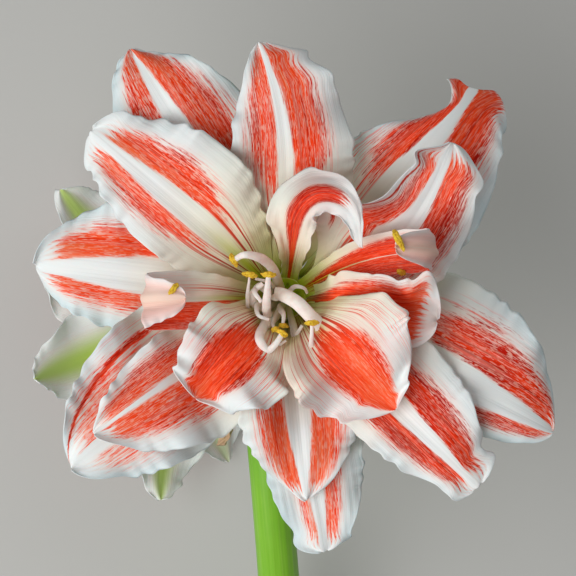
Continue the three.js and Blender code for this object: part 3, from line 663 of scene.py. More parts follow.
def line_mesh(name, lines, halves=None):
    """Polylines of the flower's own frame as one mesh of edges, with half widths at their points."""
    edges, start = [], 0
    for line in lines:
        edges += [(start + i, start + i + 1) for i in range(len(line) - 1)]
        start += len(line)
    mesh = bpy.data.meshes.new(name)
    mesh.from_pydata(to_row(np.concatenate(lines)).tolist(), edges, [])
    if halves is not None:
        mesh.attributes.new("half", "FLOAT", "POINT").data.foreach_set("value", halves)
    return placed(name, mesh)


def mesh_object(name, shells, material):
    """One object from shells of the flower's own frame. Their faces are arrays or lists of arrays."""
    vertices, faces, looks, start = [], [], [], 0
    for points, polygons, data in shells:
        vertices.append(points)
        for block in polygons if isinstance(polygons, list) else [polygons]:
            faces.extend((block + start).tolist())
        looks.append(data)
        start += len(points)
    mesh = bpy.data.meshes.new(name)
    mesh.from_pydata(to_row(np.concatenate(vertices)).tolist(), [], faces)
    joined = {key: np.concatenate([data[key] for data in looks]) for key in looks[0]}
    for key, kind, field in (
        ("petal", "FLOAT_VECTOR", "vector"),
        ("bands", "FLOAT_VECTOR", "vector"),
        ("side", "FLOAT", "value"),
    ):
        mesh.attributes.new(key, kind, "POINT").data.foreach_set(field, joined[key].ravel())
    corners = np.empty(len(mesh.loops), int)
    mesh.loops.foreach_get("vertex_index", corners)
    mesh.uv_layers.new(name="UVMap").data.foreach_set("uv", joined["uv"][corners].ravel())
    mesh.shade_smooth()
    mesh.materials.append(material)
    return placed(name, mesh)


def dressed(made, nodes):
    """Puts a finished piece in place of its nodes."""
    if not made.data.polygons:
        raise RuntimeError(f"{made.name} has no faces")
    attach(made, BODY)
    if nodes:
        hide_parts(*nodes)


def rear_petals(pattern, whorl):
    """The six petals of a whorl of the rear bloom, each a little unlike the next."""
    half, petals = pattern.ccw[0], []
    for k in range(6):
        vary = math.sin(2.4 * k + whorl)
        petals.append(pattern._replace(
            az=pattern.az + 60 * k + 4 * vary,
            reach=pattern.reach + REAR_SPREAD * math.sin(1.7 * k + 2 * whorl),
            tip=pattern.tip + 7 * vary,
            ccw=(half, pattern.ccw[1] + 10 * math.sin(3.1 * k)),
            cw=(half, pattern.cw[1] + 10 * math.cos(2.3 * k)),
        ))
    return petals


# ---------------------------------------------------------------- node helpers

ATTRIBUTE, COORDINATES = "ShaderNodeAttribute", "ShaderNodeTexCoord"
NOISE, BUMP, RANGE = "ShaderNodeTexNoise", "ShaderNodeBump", "ShaderNodeMapRange"
JOIN, SPLIT = "ShaderNodeCombineXYZ", "ShaderNodeSeparateXYZ"
SPLINE, POSITION = "GeometryNodeSplineParameter", "GeometryNodeInputPosition"
NORMAL, CIRCLE = "GeometryNodeInputNormal", "GeometryNodeCurvePrimitiveCircle"
SWEEP, MOVE = "GeometryNodeCurveToMesh", "GeometryNodeSetPosition"
PAINT, SHADE = "GeometryNodeSetMaterial", "GeometryNodeSetShadeSmooth"
REALIZE, OUTPUT = "GeometryNodeRealizeInstances", "NodeGroupOutput"
# kinds of node with the settings they always have
SOFT_RANGE = RANGE, {"interpolation_type": "SMOOTHSTEP"}
BLEND = "ShaderNodeMix", {"data_type": "RGBA"}
PLUS, MINUS, TIMES, TIMES_PLUS, LARGER, UNSIGNED, SINE, COSINE, POWER = (
    ("ShaderNodeMath", {"operation": name})
    for name in "ADD SUBTRACT MULTIPLY MULTIPLY_ADD MAXIMUM ABSOLUTE SINE COSINE POWER".split()
)
SCALED, APART, DOT = (
    ("ShaderNodeVectorMath", {"operation": name}) for name in ("SCALE", "SUBTRACT", "DOT_PRODUCT")
)
STORE = "GeometryNodeStoreNamedAttribute", {"domain": "POINT"}
READ = "GeometryNodeInputNamedAttribute", {"data_type": "FLOAT"}
TRIM = "GeometryNodeTrimCurve", {"mode": "LENGTH"}


def node(tree, kind, *inputs, **settings):
    """Adds a node with its settings and links.

    The inputs are values, sockets or nodes: in the order of the sockets in use, with None for one
    that is left alone, or as one dict by name.
    """
    kind, always = kind if isinstance(kind, tuple) else (kind, {})
    made = tree.nodes.new(kind)
    for name, value in {**always, **settings}.items():
        setattr(made, name, value)
    if inputs and isinstance(inputs[0], dict):
        pairs = [(made.inputs[name], value) for name, value in inputs[0].items()]
    else:
        pairs = list(zip([socket for socket in made.inputs if socket.enabled], inputs))
    for socket, value in pairs:
        if isinstance(value, bpy.types.Node):
            value = next(result for result in value.outputs if result.enabled)
        if isinstance(value, bpy.types.NodeSocket):
            tree.links.new(value, socket)
        elif value is not None:
            socket.default_value = (*value, 1) if socket.type == "RGBA" else value
    return made


# ---------------------------------------------------------------- materials

# noise along the streaks: changes across one streak, changes in a metre of its length, detail
STREAK_LAYERS = ((0.42, 15, 2), (1, 75, 3), (1.5, 260, 1), (0.16, 30, 2), (1.3, 16, 1), (0.6, 7, 1))


def new_material(name):
    """A material without nodes, and a function that adds them to it."""
    material = bpy.data.materials.new(name)
    material.use_nodes = True
    material.node_tree.nodes.clear()
    return material, partial(node, material.node_tree)


def surfaced(material, add, base, roughness, relief=None, flesh=(), **more):
    """Ends a material with its surface and its output.

    relief: strength, depth in mm and height. flesh: weight, radius and scale in metres of the light
    that goes through it.
    """
    look = dict(zip(("Subsurface Weight", "Subsurface Radius", "Subsurface Scale"), flesh), **more)
    look["Base Color"], look["Roughness"] = base, roughness
    if relief:
        strength, depth, height = relief
        look["Normal"] = add(BUMP, strength, depth * MM, None, height)
    add("ShaderNodeOutputMaterial", add("ShaderNodeBsdfPrincipled", look))
    return material


def petal_material(name, finish, back, cool, pink_white=0.0):
    """Amaryllis petal: thin living tissue, white with pigment in the cells along its veins.

    The eye gets a soft, slightly waxy white that lets light through, with scarlet in fine
    lengthwise streaks that thin out into speckles. back: how pink the back is, how much of the bands
    shows through it, and how green its midrib is. cool, pink_white: how bluish its margin and how
    pink its ground is.
    """
    material, add = new_material(name)
    petal, bands, side = (add(ATTRIBUTE, attribute_name=key).outputs for key in ("petal", "bands", "side"))
    u, v, lane = add(SPLIT, petal["Vector"]).outputs
    density, deep_and_shade, lines = add(SPLIT, bands["Vector"]).outputs
    where = add(COORDINATES).outputs
    along = add(SPLIT, where["UV"]).outputs[1]
    out = add(UNSIGNED, v)
    across = add(TIMES, lane, MM / finish.streak_width)
    long, fine, speckle, broad, vein, throat = (
        add(NOISE, add(JOIN, add(TIMES, across, width), add(TIMES, along, often), 0), 1, detail, 0.6)
        for width, often, detail in STREAK_LAYERS
    )
    # a fuller place has more of its streaks coloured, and pale veins and dots run through them
    grain = add(TIMES_PLUS, speckle, 0.6, add(PLUS, fine, add(TIMES, long, 0.4)))
    level = add(TIMES_PLUS, density, 0.58, add(MINUS, grain, 1.25))
    streaks = add(TIMES, add(SOFT_RANGE, level, -0.08, 0.1, 0, 1), add(RANGE, density, 0.01, 0.16, 0, 1))
    pale = add(LARGER, add(SOFT_RANGE, speckle, 0.5, 0.6, 0, 0.62), add(SOFT_RANGE, vein, 0.52, 0.6, 0, 0.3))
    pale = add(TIMES, pale, add(RANGE, density, 0.75, 1.1, 1, 0.3))
    shown = add(TIMES, streaks, add(MINUS, 1, pale))
    # a few strong lines at the base, and finer broken ones further out
    strong = add(SOFT_RANGE, throat, 0.5, 0.58, 0, 0.95)
    broken = add(TIMES, add(RANGE, vein, 0.54, 0.6, 0, 1), add(RANGE, fine, 0.4, 0.52, 0.15, 0.9))
    away = add(TIMES, add(RANGE, u, 0.22, 0.44, 0, 1), add(RANGE, out, 0.38, 0.62, 0, 1))
    throat_lines = add(TIMES, add("ShaderNodeMix", away, strong, broken), lines)
    # pigment: salmon where it is thin, scarlet, and crimson where it is dense and where the petal's painted shade
    # darkens it
    dark = deep_and_shade
    for layer, low, high, share in ((long, 0.35, 0.65, 0.3), (fine, 0.3, 0.7, 0.3), (broad, 0.35, 0.65, 0.15)):
        dark = add(PLUS, add(RANGE, layer, low, high, -share, share), dark)
    pigment = add(BLEND, add(RANGE, dark, -0.3, 0.4, 0, 1), finish.salmon, finish.scarlet)
    pigment = add(BLEND, add(RANGE, dark, 0.3, 1, 0, 1), pigment, finish.crimson)
    # ground: warm by the throat, cool towards the edges, pink beside the bands, green at the base
    cloud = add(NOISE, where["Object"], 60, 2)
    edge = add(TIMES, add(RANGE, out, 0.45, 0.95, 0, 1), add(RANGE, cloud, 0.3, 0.6, 0.4, 1))
    reach = add(SOFT_RANGE, out, 0, 0.3, 0.54, 0.42)
    top = add(BLEND, add(RANGE, u, 0.34, 0.72, 0, 1), finish.warm, finish.white)
    for share, over in (
        (add(TIMES, edge, add(RANGE, u, 0.35, 0.7, 0, cool)), finish.cool),
        (add(RANGE, cloud, 0.4, 0.65, 0, pink_white), finish.blush),
        (add(TIMES, density, add(RANGE, fine, 0.3, 0.6, 0.3, 1), use_clamp=True), finish.apricot),
        (add(SOFT_RANGE, u, add(MINUS, reach, 0.3), reach, 1, 0), finish.throat),
        (shown, pigment),
        (throat_lines, add(BLEND, add(RANGE, u, 0.3, 0.55, 0, 1), finish.line, finish.scarlet)),
    ):
        top = add(BLEND, share, top, over)
    # the back: paler, with a broad green line along the midrib
    rib = add(TIMES, add(SOFT_RANGE, out, 0.04, 0.62, back[2], 0), add(RANGE, u, 0.4, 1, 1, 0.75))
    under = add(BLEND, add(RANGE, out, 0.6, 0.95, back[0], 0.3 * back[0]), finish.white, finish.blush)
    under = add(BLEND, add(TIMES, shown, back[1]), under, pigment)
    under = add(BLEND, add(LARGER, rib, add(RANGE, u, 0, 0.15, 0.9, 0)), under, finish.rib)
    # veins stand out a little, about 1.4 mm apart
    ridge = add(NOISE, add(JOIN, add(TIMES, across, 0.8), add(TIMES, along, 14), 0), 1, 2)
    roughness = add(RANGE, fine, 0.35, 0.65, 0.6, 0.48)
    return surfaced(material, add, add(BLEND, side["Fac"], under, top), roughness, (0.35, 0.6, ridge),
                    (0.08, (1, 0.45, 0.35), 0.0015), **{"IOR": 1.4, "Specular IOR Level": 0.14})


def filament_material(finish):
    """Filament: smooth moist living tissue, pinkish white, a little glossy."""
    material, add = new_material("filament_tissue")
    cloud = add(NOISE, add(COORDINATES).outputs["Object"], 420, 2)
    share = add(ATTRIBUTE, attribute_name="share").outputs["Fac"]
    base = add(BLEND, add(RANGE, cloud, 0.4, 0.7, 0, 0.45), finish.filament, linear(FILAMENT_PINK))
    base = add(BLEND, add(RANGE, share, 0.05, 0.5, 0.8, 0), base, linear(FILAMENT_FOOT))
    return surfaced(material, add, base, 0.3, (0.2, 0.3, cloud), (0.3, (1, 0.5, 0.4), 0.002), IOR=1.42)


def anther_material(finish):
    """Anther: dry sacs burst open and covered with pollen, a matt, grainy yellow."""
    material, add = new_material("pollen")
    grain = add(NOISE, add(COORDINATES).outputs["Object"], 1600, 2)
    base = add(BLEND, add(RANGE, grain, 0.35, 0.65, 0, 1), finish.anther, linear(RIPE_POLLEN))
    return surfaced(material, add, base, 0.85, (0.5, 0.3, grain))


def stalk_material(finish):
    """Scape and pedicel: smooth green stalk with a thin waxy bloom and fine lengthwise stripes."""
    material, add = new_material("waxy_stalk")
    turn, far, _ = add(SPLIT, add(ATTRIBUTE, attribute_name="stalk").outputs["Vector"]).outputs
    stripe = add(NOISE, add(JOIN, add(TIMES, turn, 50), add(TIMES, far, 18), 0), 1, 3)
    cloud = add(NOISE, add(COORDINATES).outputs["Object"], 35, 3)
    base = add(BLEND, add(RANGE, stripe, 0.45, 0.75, 0, 0.6), finish.green, finish.pale_green)
    base = add(BLEND, add(RANGE, cloud, 0.45, 0.75, 0, 0.5), base, linear(STALK_SHADE))
    roughness = add(RANGE, cloud, 0.3, 0.7, 0.34, 0.52)
    return surfaced(material, add, base, roughness, (0.3, 0.4, stripe), (0.1, (0.6, 1, 0.3), 0.002),
                    **{"IOR": 1.45, "Coat Weight": 0.12, "Coat Roughness": 0.4})


def pith_material(finish):
    """Cut stalk: wet spongy pith, pale green-white, with the ends of its vessels as dots."""
    material, add = new_material("wet_pith")
    where = add(COORDINATES).outputs["Object"]
    dots = add("ShaderNodeTexVoronoi", where, 900)
    base = add(BLEND, add(RANGE, dots, 0.12, 0.34, 0.6, 0), finish.pith, linear(VESSELS))
    sponge = add(NOISE, where, 260, 3)
    return surfaced(material, add, base, 0.38, (0.5, 0.4, sponge), (0.2, (0.8, 1, 0.5), 0.002), IOR=1.4)


def paper_material(finish):
    """Withered bract: dry papery skin, tan with darker parallel veins, dull and crinkled."""
    material, add = new_material("withered_bract")
    u, v, seed = add(SPLIT, add(ATTRIBUTE, attribute_name="petal").outputs["Vector"]).outputs
    vein = add(NOISE, add(JOIN, add(TIMES, v, 9), add(TIMES, u, 1.6), seed), 1, 4, 0.6)
    cloud = add(NOISE, add(COORDINATES).outputs["Object"], 90, 4)
    base = add(BLEND, add(RANGE, vein, 0.5, 0.68, 0, 0.85), finish.paper, finish.paper_vein)
    base = add(BLEND, add(RANGE, cloud, 0.4, 0.7, 0, 0.55), base, linear(PAPER_PINK))
    base = add(BLEND, add(RANGE, u, 0, 0.3, 0.7, 0), base, linear(PAPER_FOOT))
    return surfaced(material, add, base, 0.72, (0.7, 0.6, vein))


def floor_material(finish):
    """Studio floor: a matt painted board, even and pale."""
    material, add = new_material("matt_board")
    cloud = add(NOISE, add(COORDINATES).outputs["Object"], 3, 2)
    base = add(BLEND, add(RANGE, cloud, 0.3, 0.7, 0, 0.12), finish.floor, linear(FLOOR_SHADE))
    return surfaced(material, add, base, 0.9)


# ---------------------------------------------------------------- geometry node trees

def curve_tree(name, values):
    """A tree with an input for each of its values, which starts with its edges made curves."""
    tree = bpy.data.node_groups.new(name, "GeometryNodeTree")
    for way in ("INPUT", "OUTPUT"):
        tree.interface.new_socket("Geometry", in_out=way, socket_type="NodeSocketGeometry")
    for label, value in values.items():
        kind = {int: "Int", float: "Float"}.get(type(value), "Material")
        socket = tree.interface.new_socket(label, in_out="INPUT", socket_type=f"NodeSocket{kind}")
        socket.default_value = value
    add = partial(node, tree)
    given = add("NodeGroupInput").outputs
    curves = add("GeometryNodeMeshToCurve", given["Geometry"])
    return tree, add, given, add("GeometryNodeSetCurveNormal", curves, mode="Z_UP")


def shaken(add, made, often, far):
    """Moves its points about, by noise that changes so often in a metre."""
    noise = add(NOISE, add(POSITION), often, 1).outputs["Color"]
    return add(MOVE, made, None, None, add(SCALED, add(APART, noise, (0.5, 0.5, 0.5)), far))


def marked_stalk(add, line, sides, radius, height):
    """A stalk along a line, with places for its material, and ribs as high as height makes of turn."""
    spline = add(SPLINE).outputs
    line = add(STORE, line, None, "far", spline["Length"])
    ring = add(STORE, add(CIRCLE, sides, 1), None, "turn", spline["Factor"])
    skin = add(SWEEP, line, ring, radius, True)
    turn, far = add(READ, "turn"), add(READ, "far")
    skin = add(MOVE, skin, None, None, add(SCALED, add(NORMAL), height(turn)))
    return add(STORE, skin, None, "stalk", add(JOIN, turn, far, 0), data_type="FLOAT_VECTOR")


def grown(name, source, tree, values):
    """What the tree makes of the source, as a plain mesh object. The source is removed."""
    modifier = source.modifiers.new("grow", "NODES")
    modifier.node_group = tree
    sockets = {s.name: s.identifier for s in tree.interface.items_tree if s.in_out == "INPUT"}
    for label, value in values.items():
        modifier[sockets[label]] = value
    graph = bpy.context.evaluated_depsgraph_get()
    mesh = bpy.data.meshes.new_from_object(
        source.evaluated_get(graph), preserve_all_data_layers=True, depsgraph=graph
    )
    source.modifiers.remove(modifier)
    bpy.data.objects.remove(source)
    mesh.name = name
    return placed(name, mesh)


def stalk_tree(values):
    """A hollow stalk along a line: it widens to its end, and its bore runs out at the cut."""
    tree, add, given, line = curve_tree("hollow_stalk", values)
    whole = add("GeometryNodeCurveLength", line)
    outer = add(TRIM, line, None, 0, add(MINUS, whole, given["Overrun"]))
    bore = add(TRIM, line, None, given["Solid top"], whole)
    factor = add(SPLINE).outputs["Factor"]
    radius = add(SOFT_RANGE, factor, 0, 0.8, given["Top radius"], given["End radius"])
    skin = marked_stalk(add, outer, 64, radius, lambda turn: add(
        TIMES, add(COSINE, add(TIMES, turn, RIBS * 2 * math.pi)), RIB_HEIGHT * MM))
    skin = add(PAINT, skin, None, given["Skin"])
    hollow = add(SWEEP, bore, add(CIRCLE, 48, 1), add(MINUS, given["Top radius"], given["Wall"]), True)
    hollow = add(PAINT, hollow, None, given["Pith"])
    solid = add("GeometryNodeMeshBoolean", skin, hollow, operation="DIFFERENCE", solver="EXACT")
    # the cut face looks along the line's end
    tip = add("GeometryNodeSampleCurve", outer, None, 1, mode="FACTOR").outputs["Tangent"]
    at_cut = add("FunctionNodeCompare", add(DOT, add(NORMAL), tip), 0.96,
                 operation="GREATER_THAN", data_type="FLOAT")
    solid = add(PAINT, solid, at_cut, given["Pith"])
    solid = add(SHADE, solid, add("FunctionNodeBooleanMath", at_cut, operation="NOT"), True)
    add(OUTPUT, add(REALIZE, solid))
    return tree


def pedicel_tree(values):
    """A short stalk that swells into the three-lobed ovary under its bloom."""
    tree, add, given, line = curve_tree("pedicel", values)
    factor = add(SPLINE).outputs["Factor"]
    swell = add(MINUS, add(SOFT_RANGE, factor, 0.56, 0.78, 0, 1), add(SOFT_RANGE, factor, 0.86, 1, 0, 0.16))
    radius = add(TIMES_PLUS, add(MINUS, given["Ovary radius"], given["Radius"]), swell, given["Radius"])
    line = add(STORE, line, None, "swell", swell)
    skin = marked_stalk(add, line, 60, radius, lambda turn: add(
        TIMES, add(TIMES, given["Ovary radius"], given["Lobe depth"]),
        add(TIMES, add(COSINE, add(TIMES, turn, 3 * 2 * math.pi)), add(READ, "swell"))))
    skin = add(REALIZE, add(SHADE, skin, True, True))
    add(OUTPUT, add(PAINT, skin, None, given["Skin"]))
    return tree


def filament_tree(values):
    """Channelled ribbons along lines, whose points carry half the ribbon's width."""
    tree, add, given, line = curve_tree("filaments", values)
    line = add(STORE, line, None, "share", add(SPLINE).outputs["Factor"])
    line = shaken(add, line, 160, given["Wobble"])
    # the section: an oval bent into a shallow channel
    x, y, _ = add(SPLIT, add(POSITION)).outputs
    bend = add(TIMES, add(TIMES, x, x), given["Channel"])
    oval = add(JOIN, x, add(TIMES_PLUS, y, given["Thickness"], bend), 0)
    ribbon = add(SWEEP, line, add(MOVE, add(CIRCLE, 20, 1), None, oval), add(READ, "half"), True)
    ribbon = add(REALIZE, add(SHADE, ribbon, True, True))
    add(OUTPUT, add(PAINT, ribbon, None, given["Tissue"]))
    return tree


def anther_tree(values):
    """Two-lobed anthers along short lines, with clumps of pollen on them."""
    tree, add, given, line = curve_tree("anthers", values)
    turn = add(TIMES, add(SPLINE).outputs["Factor"], math.pi)
    radius = add(TIMES, add(LARGER, add(POWER, add(SINE, turn), 0.45), 0.12), given["Radius"])
    x, y, _ = add(SPLIT, add(POSITION)).outputs
    waist = add(SOFT_RANGE, add(UNSIGNED, x), 0, 0.6, 0.55, 1)
    lobes = add(MOVE, add(CIRCLE, 16, 1), None, add(JOIN, x, add(TIMES, y, waist), 0))
    sac = shaken(add, add(SWEEP, line, lobes, radius, True), 700, given["Lumps"])
    sac = add(SHADE, sac, True, True)
    spread = add("GeometryNodeDistributePointsOnFaces", {
        "Mesh": sac, "Density": given["Pollen per square metre"], "Seed": given["Seed"]})
    grain = add("GeometryNodeMeshIcoSphere", given["Pollen radius"], 1)
    size = add("FunctionNodeRandomValue", 0.6, 1.4, None, given["Seed"], data_type="FLOAT")
    grains = add("GeometryNodeInstanceOnPoints", {"Points": spread, "Instance": grain, "Scale": size.outputs[1]})
    both = add("GeometryNodeJoinGeometry")
    for part in (sac, grains):
        tree.links.new(part.outputs[0], both.inputs[0])
    add(OUTPUT, add(PAINT, add(REALIZE, both), None, given["Pollen"]))
    return tree


# ---------------------------------------------------------------- operators


class AMARYLLIS_OT_scape(bpy.types.Operator):
    """Make the hollow flower stalk with its cut end"""

    bl_idname = "amaryllis.scape"
    bl_label = "Flower stalk"

    def execute(self, context):
        greens = context.scene.amaryllis.greens
        values = {
            "Top radius": greens.top_radius, "End radius": greens.end_radius, "Wall": greens.wall,
            "Solid top": greens.solid_top, "Overrun": OVERRUN * MM,
            "Skin": stalk_material(greens), "Pith": pith_material(greens),
        }
        source = line_mesh("scape_line", [scape_line(SCAPE_POINTS, OVERRUN)])
        made = grown("scape_skin", source, stalk_tree(values), values)
        dressed(made, ["scape"])
        return {"FINISHED"}


class AMARYLLIS_OT_pedicels(bpy.types.Operator):
    """Make the two pedicels with their ovaries"""

    bl_idname = "amaryllis.pedicels"
    bl_label = "Pedicels and ovaries"

    def execute(self, context):
        greens = context.scene.amaryllis.greens
        values = {
            "Radius": greens.pedicel_radius, "Ovary radius": greens.ovary_radius,
            "Lobe depth": LOBE_DEPTH, "Skin": stalk_material(greens),
        }
        tree = pedicel_tree(values)
        out = unit(np.array(SCAPE_TOP, float) - np.array(SCAPE_BEND_HIGH))
        across = unit(np.cross(out, [0, 0, 1]))
        for name, bloom, side in (("front_pedicel", FRONT, 1), ("rear_pedicel", REAR, -1)):
            faces = unit(np.array(bloom.faces, float))
            foot = np.array(SCAPE_TOP) + out * SEAT + across * side * PEDICEL_APART / 2
            top = np.array(bloom.base) - faces * SEAT
            bend = bezier([foot, foot + out * PEDICEL_BEND, top - faces * PEDICEL_STRAIGHT, top], BEND_POINTS)
            source = line_mesh(f"{name}_line", [even(bend, PEDICEL_POINTS)])
            dressed(grown(f"{name}_skin", source, tree, values), [name])
        return {"FINISHED"}


class AMARYLLIS_OT_spathe_valves(bpy.types.Operator):
    """Make the two withered bracts under the blooms"""

    bl_idname = "amaryllis.spathe_valves"
    bl_label = "Withered bracts"

    def execute(self, context):
        paper = paper_material(context.scene.amaryllis.greens)
        line = scape_line(FINE_POINTS)
        step = np.linalg.norm(line[1] - line[0])
        along = unit(np.gradient(line, axis=0))
        u, v = np.linspace(0, 1, VALVE_GRID[0])[:, None], np.linspace(-1, 1, VALVE_GRID[1])[None, :]
        at = np.round((VALVE_FROM + VALVE_LENGTH * u[:, 0]) / step).astype(int)
        across = unit(np.cross([0, 0, 1], along[at]))
        up = np.cross(along[at], across)
        radius = SCAPE_TOP_RADIUS + SEAT + VALVE_OFF + VALVE_SPREAD * u**1.6
        width = VALVE_HALF * np.sin(np.pi * (0.36 + 0.6 * u)) ** 0.8 + 0.6
        for name, side in (("left_spathe_valve", -1), ("right_spathe_valve", 1)):
            crumple = 1.6 * np.sin(9 * u + 4 * v * side) * u
            crumple += (0.5 * np.sin(31 * u + 9 * v) + 0.35 * np.sin(23 * v - 14 * u * side)) * smooth(0, 0.4, u)
            turn = (0 if side < 0 else np.pi) + width / radius * v
            points = line[at][:, None] + sum(
                ((radius + crumple) * part(turn))[..., None] * axis[:, None]
                for part, axis in ((np.cos, across), (np.sin, up))
            )
            points[..., 2] -= VALVE_DROOP * u**2
            sheet = {
                "points": points,
                "half_thick": np.full(points.shape[:2], VALVE_THICKNESS / 2),
                "petal": np.stack(np.broadcast_arrays(u, v, float(side)), -1),
                "uv": np.stack(np.broadcast_arrays(v * width * MM, u * VALVE_LENGTH * MM), -1),
                "bands": np.zeros((*points.shape[:2], 3)),
            }
            dressed(mesh_object(f"{name}_skin", [shell(sheet)], paper), [name])
        return {"FINISHED"}


class AMARYLLIS_OT_petals(bpy.types.Operator):
    """Make the tepals and petaloids of both blooms, each whorl laid over the one before"""

    bl_idname = "amaryllis.petals"
    bl_label = "Petals"

    def execute(self, context):
        finish = context.scene.amaryllis.petals
        tissues = (
            petal_material("outer_tepal_tissue", finish, (0.1, 0.08, 1.0), 1.0),
            petal_material("inner_tepal_tissue", finish, (0.2, 0.08, 0.5), 0.5, 0.12),
            petal_material("petaloid_tissue", finish, (0.9, 0.12, 0.1), 0.25, 0.4),
        )
        rear = [rear_petals(pattern, whorl) for whorl, pattern in enumerate(REAR_WHORLS)]
        front = (FRONT_OUTER, FRONT_INNER, FRONT_PETALOIDS)
        kinds = ("outer_tepals", "inner_tepals", "petaloids")
        for name, bloom, whorls, grids in (
            ("front", FRONT, front, FRONT_GRIDS), ("rear", REAR, rear, REAR_GRIDS),
        ):
            relief, matrix = Relief(), bloom_matrix(bloom)
            for whorl, (kind, petals) in enumerate(zip(kinds, whorls)):
                shells = [cup(whorl, matrix, petals)]
                for order, petal in enumerate(petals):
                    sheet = petal_sheet(petal, whorl, order, *grids[whorl], finish)
                    laid = lay_over(sheet["points"], relief, LAY_GAP[whorl])
                    relief.lay(laid)
                    sheet["points"] = pressed(carry(matrix, laid), whorl)
                    shells.append(shell(sheet))
                made = mesh_object(f"{name}_{kind}_skin", shells, tissues[whorl])
                dressed(made, [f"{name}_{kind}"])
        return {"FINISHED"}


class AMARYLLIS_OT_stamens(bpy.types.Operator):
    """Make the narrow petals, filaments and anthers in the middle of both blooms"""

    bl_idname = "amaryllis.stamens"
    bl_label = "Filaments and anthers"

    def execute(self, context):
        finish = context.scene.amaryllis.stamens
        ribbon = {
            "Channel": CHANNEL_DEPTH, "Thickness": RIBBON_THICKNESS, "Wobble": WOBBLE * MM,
            "Tissue": filament_material(finish),
        }
        sac = {
            "Radius": finish.anther_radius, "Lumps": LUMPS * MM, "Pollen radius": finish.pollen_radius,
            "Pollen per square metre": POLLEN_DENSITY, "Seed": finish.pollen_seed,
            "Pollen": anther_material(finish),
        }
        ribbons, sacs = filament_tree(ribbon), anther_tree(sac)
        rear = []
        for turn in REAR_STRIP_TURNS:
            x, y = math.cos(math.radians(turn)), math.sin(math.radians(turn))
            rear.append(REAR_STRIP._replace(path=[(r * x, r * y, h) for r, h in REAR_STRIP.path]))
        for name, bloom, strips, more in (
            ("front", FRONT, FRONT_STRIPS, FRONT_ANTHERS), ("rear", REAR, rear, []),
        ):
            matrix, lines, halves, anthers = bloom_matrix(bloom), [], [], []
            for strip in strips:
                line = through(strip.path, STRIP_POINTS)
                share = np.linspace(0, 1, len(line))
                lines.append(carry(matrix, line))
                halves.append(strip.width / 2 * (1 - 0.45 * smooth(0.7, 1, share)) * bloom.scale * MM)
                if strip.anther:
                    side = unit(np.cross(line[-1] - line[-3], [0, 0, 1]))
                    t = np.linspace(-1, 1, ANTHER_POINTS)[:, None]
                    droop = np.array([0, 0, -0.9]) * t**2
                    anthers.append(carry(matrix, line[-1] + side * t * strip.anther / 2 + droop))
            anthers += [carry(matrix, through(path, ANTHER_POINTS)) for path in more]
            source = line_mesh(f"{name}_filament_lines", lines, np.concatenate(halves))
            made = grown(f"{name}_filaments", source, ribbons, ribbon)
            dressed(made, [f"{name}_staminodes"])
            source = line_mesh(f"{name}_anther_lines", anthers)
            dressed(grown(f"{name}_anthers", source, sacs, sac), [])
        return {"FINISHED"}


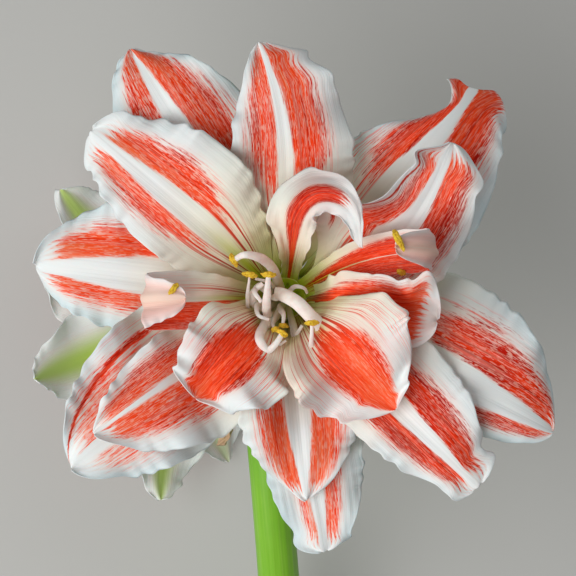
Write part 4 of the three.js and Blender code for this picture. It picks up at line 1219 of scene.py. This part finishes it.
class AMARYLLIS_OT_stage(bpy.types.Operator):
    """Make the floor, the lamps and the camera"""

    bl_idname = "amaryllis.stage"
    bl_label = "Stage"

    def execute(self, context):
        scene, settings = context.scene, context.scene.amaryllis.stage
        half = settings.floor_size / 2
        mesh = bpy.data.meshes.new("floor")
        corners = [(x * half, y * half, 0) for x, y in ((-1, -1), (1, -1), (1, 1), (-1, 1))]
        mesh.from_pydata(corners, [], [(0, 1, 2, 3)])
        mesh.materials.append(floor_material(settings))
        placed("floor", mesh)
        aim = Vector(to_row(np.array(LAMPS_AIM)))
        for name, power, place, size in (
            ("key_lamp", settings.key, KEY_AT, KEY_SIZE), ("fill_lamp", settings.fill, FILL_AT, FILL_SIZE),
        ):
            lamp = bpy.data.lights.new(name, "AREA")
            lamp.energy, lamp.size = power, size
            holder = placed(name, lamp)
            holder.location = to_row(np.array(place))
            holder.rotation_euler = (aim - holder.location).to_track_quat("-Z", "Y").to_euler()
        scene.world = bpy.data.worlds.new("room")
        scene.world.use_nodes = True
        room = scene.world.node_tree.nodes["Background"].inputs
        room["Color"].default_value, room["Strength"].default_value = ROOM_COLOUR, settings.sky
        camera = bpy.data.cameras.new("camera")
        camera.sensor_width, camera.lens = 36, CAMERA_LENS
        camera.clip_start, camera.clip_end = 0.05, 20
        scene.camera = placed("camera", camera)
        scene.camera.location = to_row(np.array(CAMERA_AT))
        scene.view_settings.view_transform = "Standard"
        return {"FINISHED"}


class AMARYLLIS_PT_panel(bpy.types.Panel):
    """The pieces and their settings"""

    bl_idname = "AMARYLLIS_PT_panel"
    bl_label = "Cut amaryllis"
    bl_space_type = "VIEW_3D"
    bl_region_type = "UI"
    bl_category = "Amaryllis"

    def draw(self, context):
        settings = context.scene.amaryllis
        for group in (settings.petals, settings.greens, settings.stamens, settings.stage):
            box = self.layout.box()
            for key in group.bl_rna.properties.keys():
                if key not in ("rna_type", "name"):
                    box.prop(group, key)
        for operator in OPERATORS:
            self.layout.operator(operator.bl_idname)


OPERATORS = (
    AMARYLLIS_OT_scape,
    AMARYLLIS_OT_pedicels,
    AMARYLLIS_OT_spathe_valves,
    AMARYLLIS_OT_petals,
    AMARYLLIS_OT_stamens,
    AMARYLLIS_OT_stage,
)
CLASSES = (
    PetalFinish, GreenFinish, StamenFinish, StageSettings, AmaryllisSettings, *OPERATORS, AMARYLLIS_PT_panel,
)


def register():
    for cls in CLASSES:
        bpy.utils.register_class(cls)
    bpy.types.Scene.amaryllis = PointerProperty(type=AmaryllisSettings)


def unregister():
    del bpy.types.Scene.amaryllis
    for cls in reversed(CLASSES):
        bpy.utils.unregister_class(cls)


def main():
    register()
    bpy.ops.amaryllis.scape()
    bpy.ops.amaryllis.pedicels()
    bpy.ops.amaryllis.spathe_valves()
    bpy.ops.amaryllis.petals()
    bpy.ops.amaryllis.stamens()
    bpy.ops.amaryllis.stage()
    bpy.context.view_layer.update()


if __name__ == "__main__":
    main()
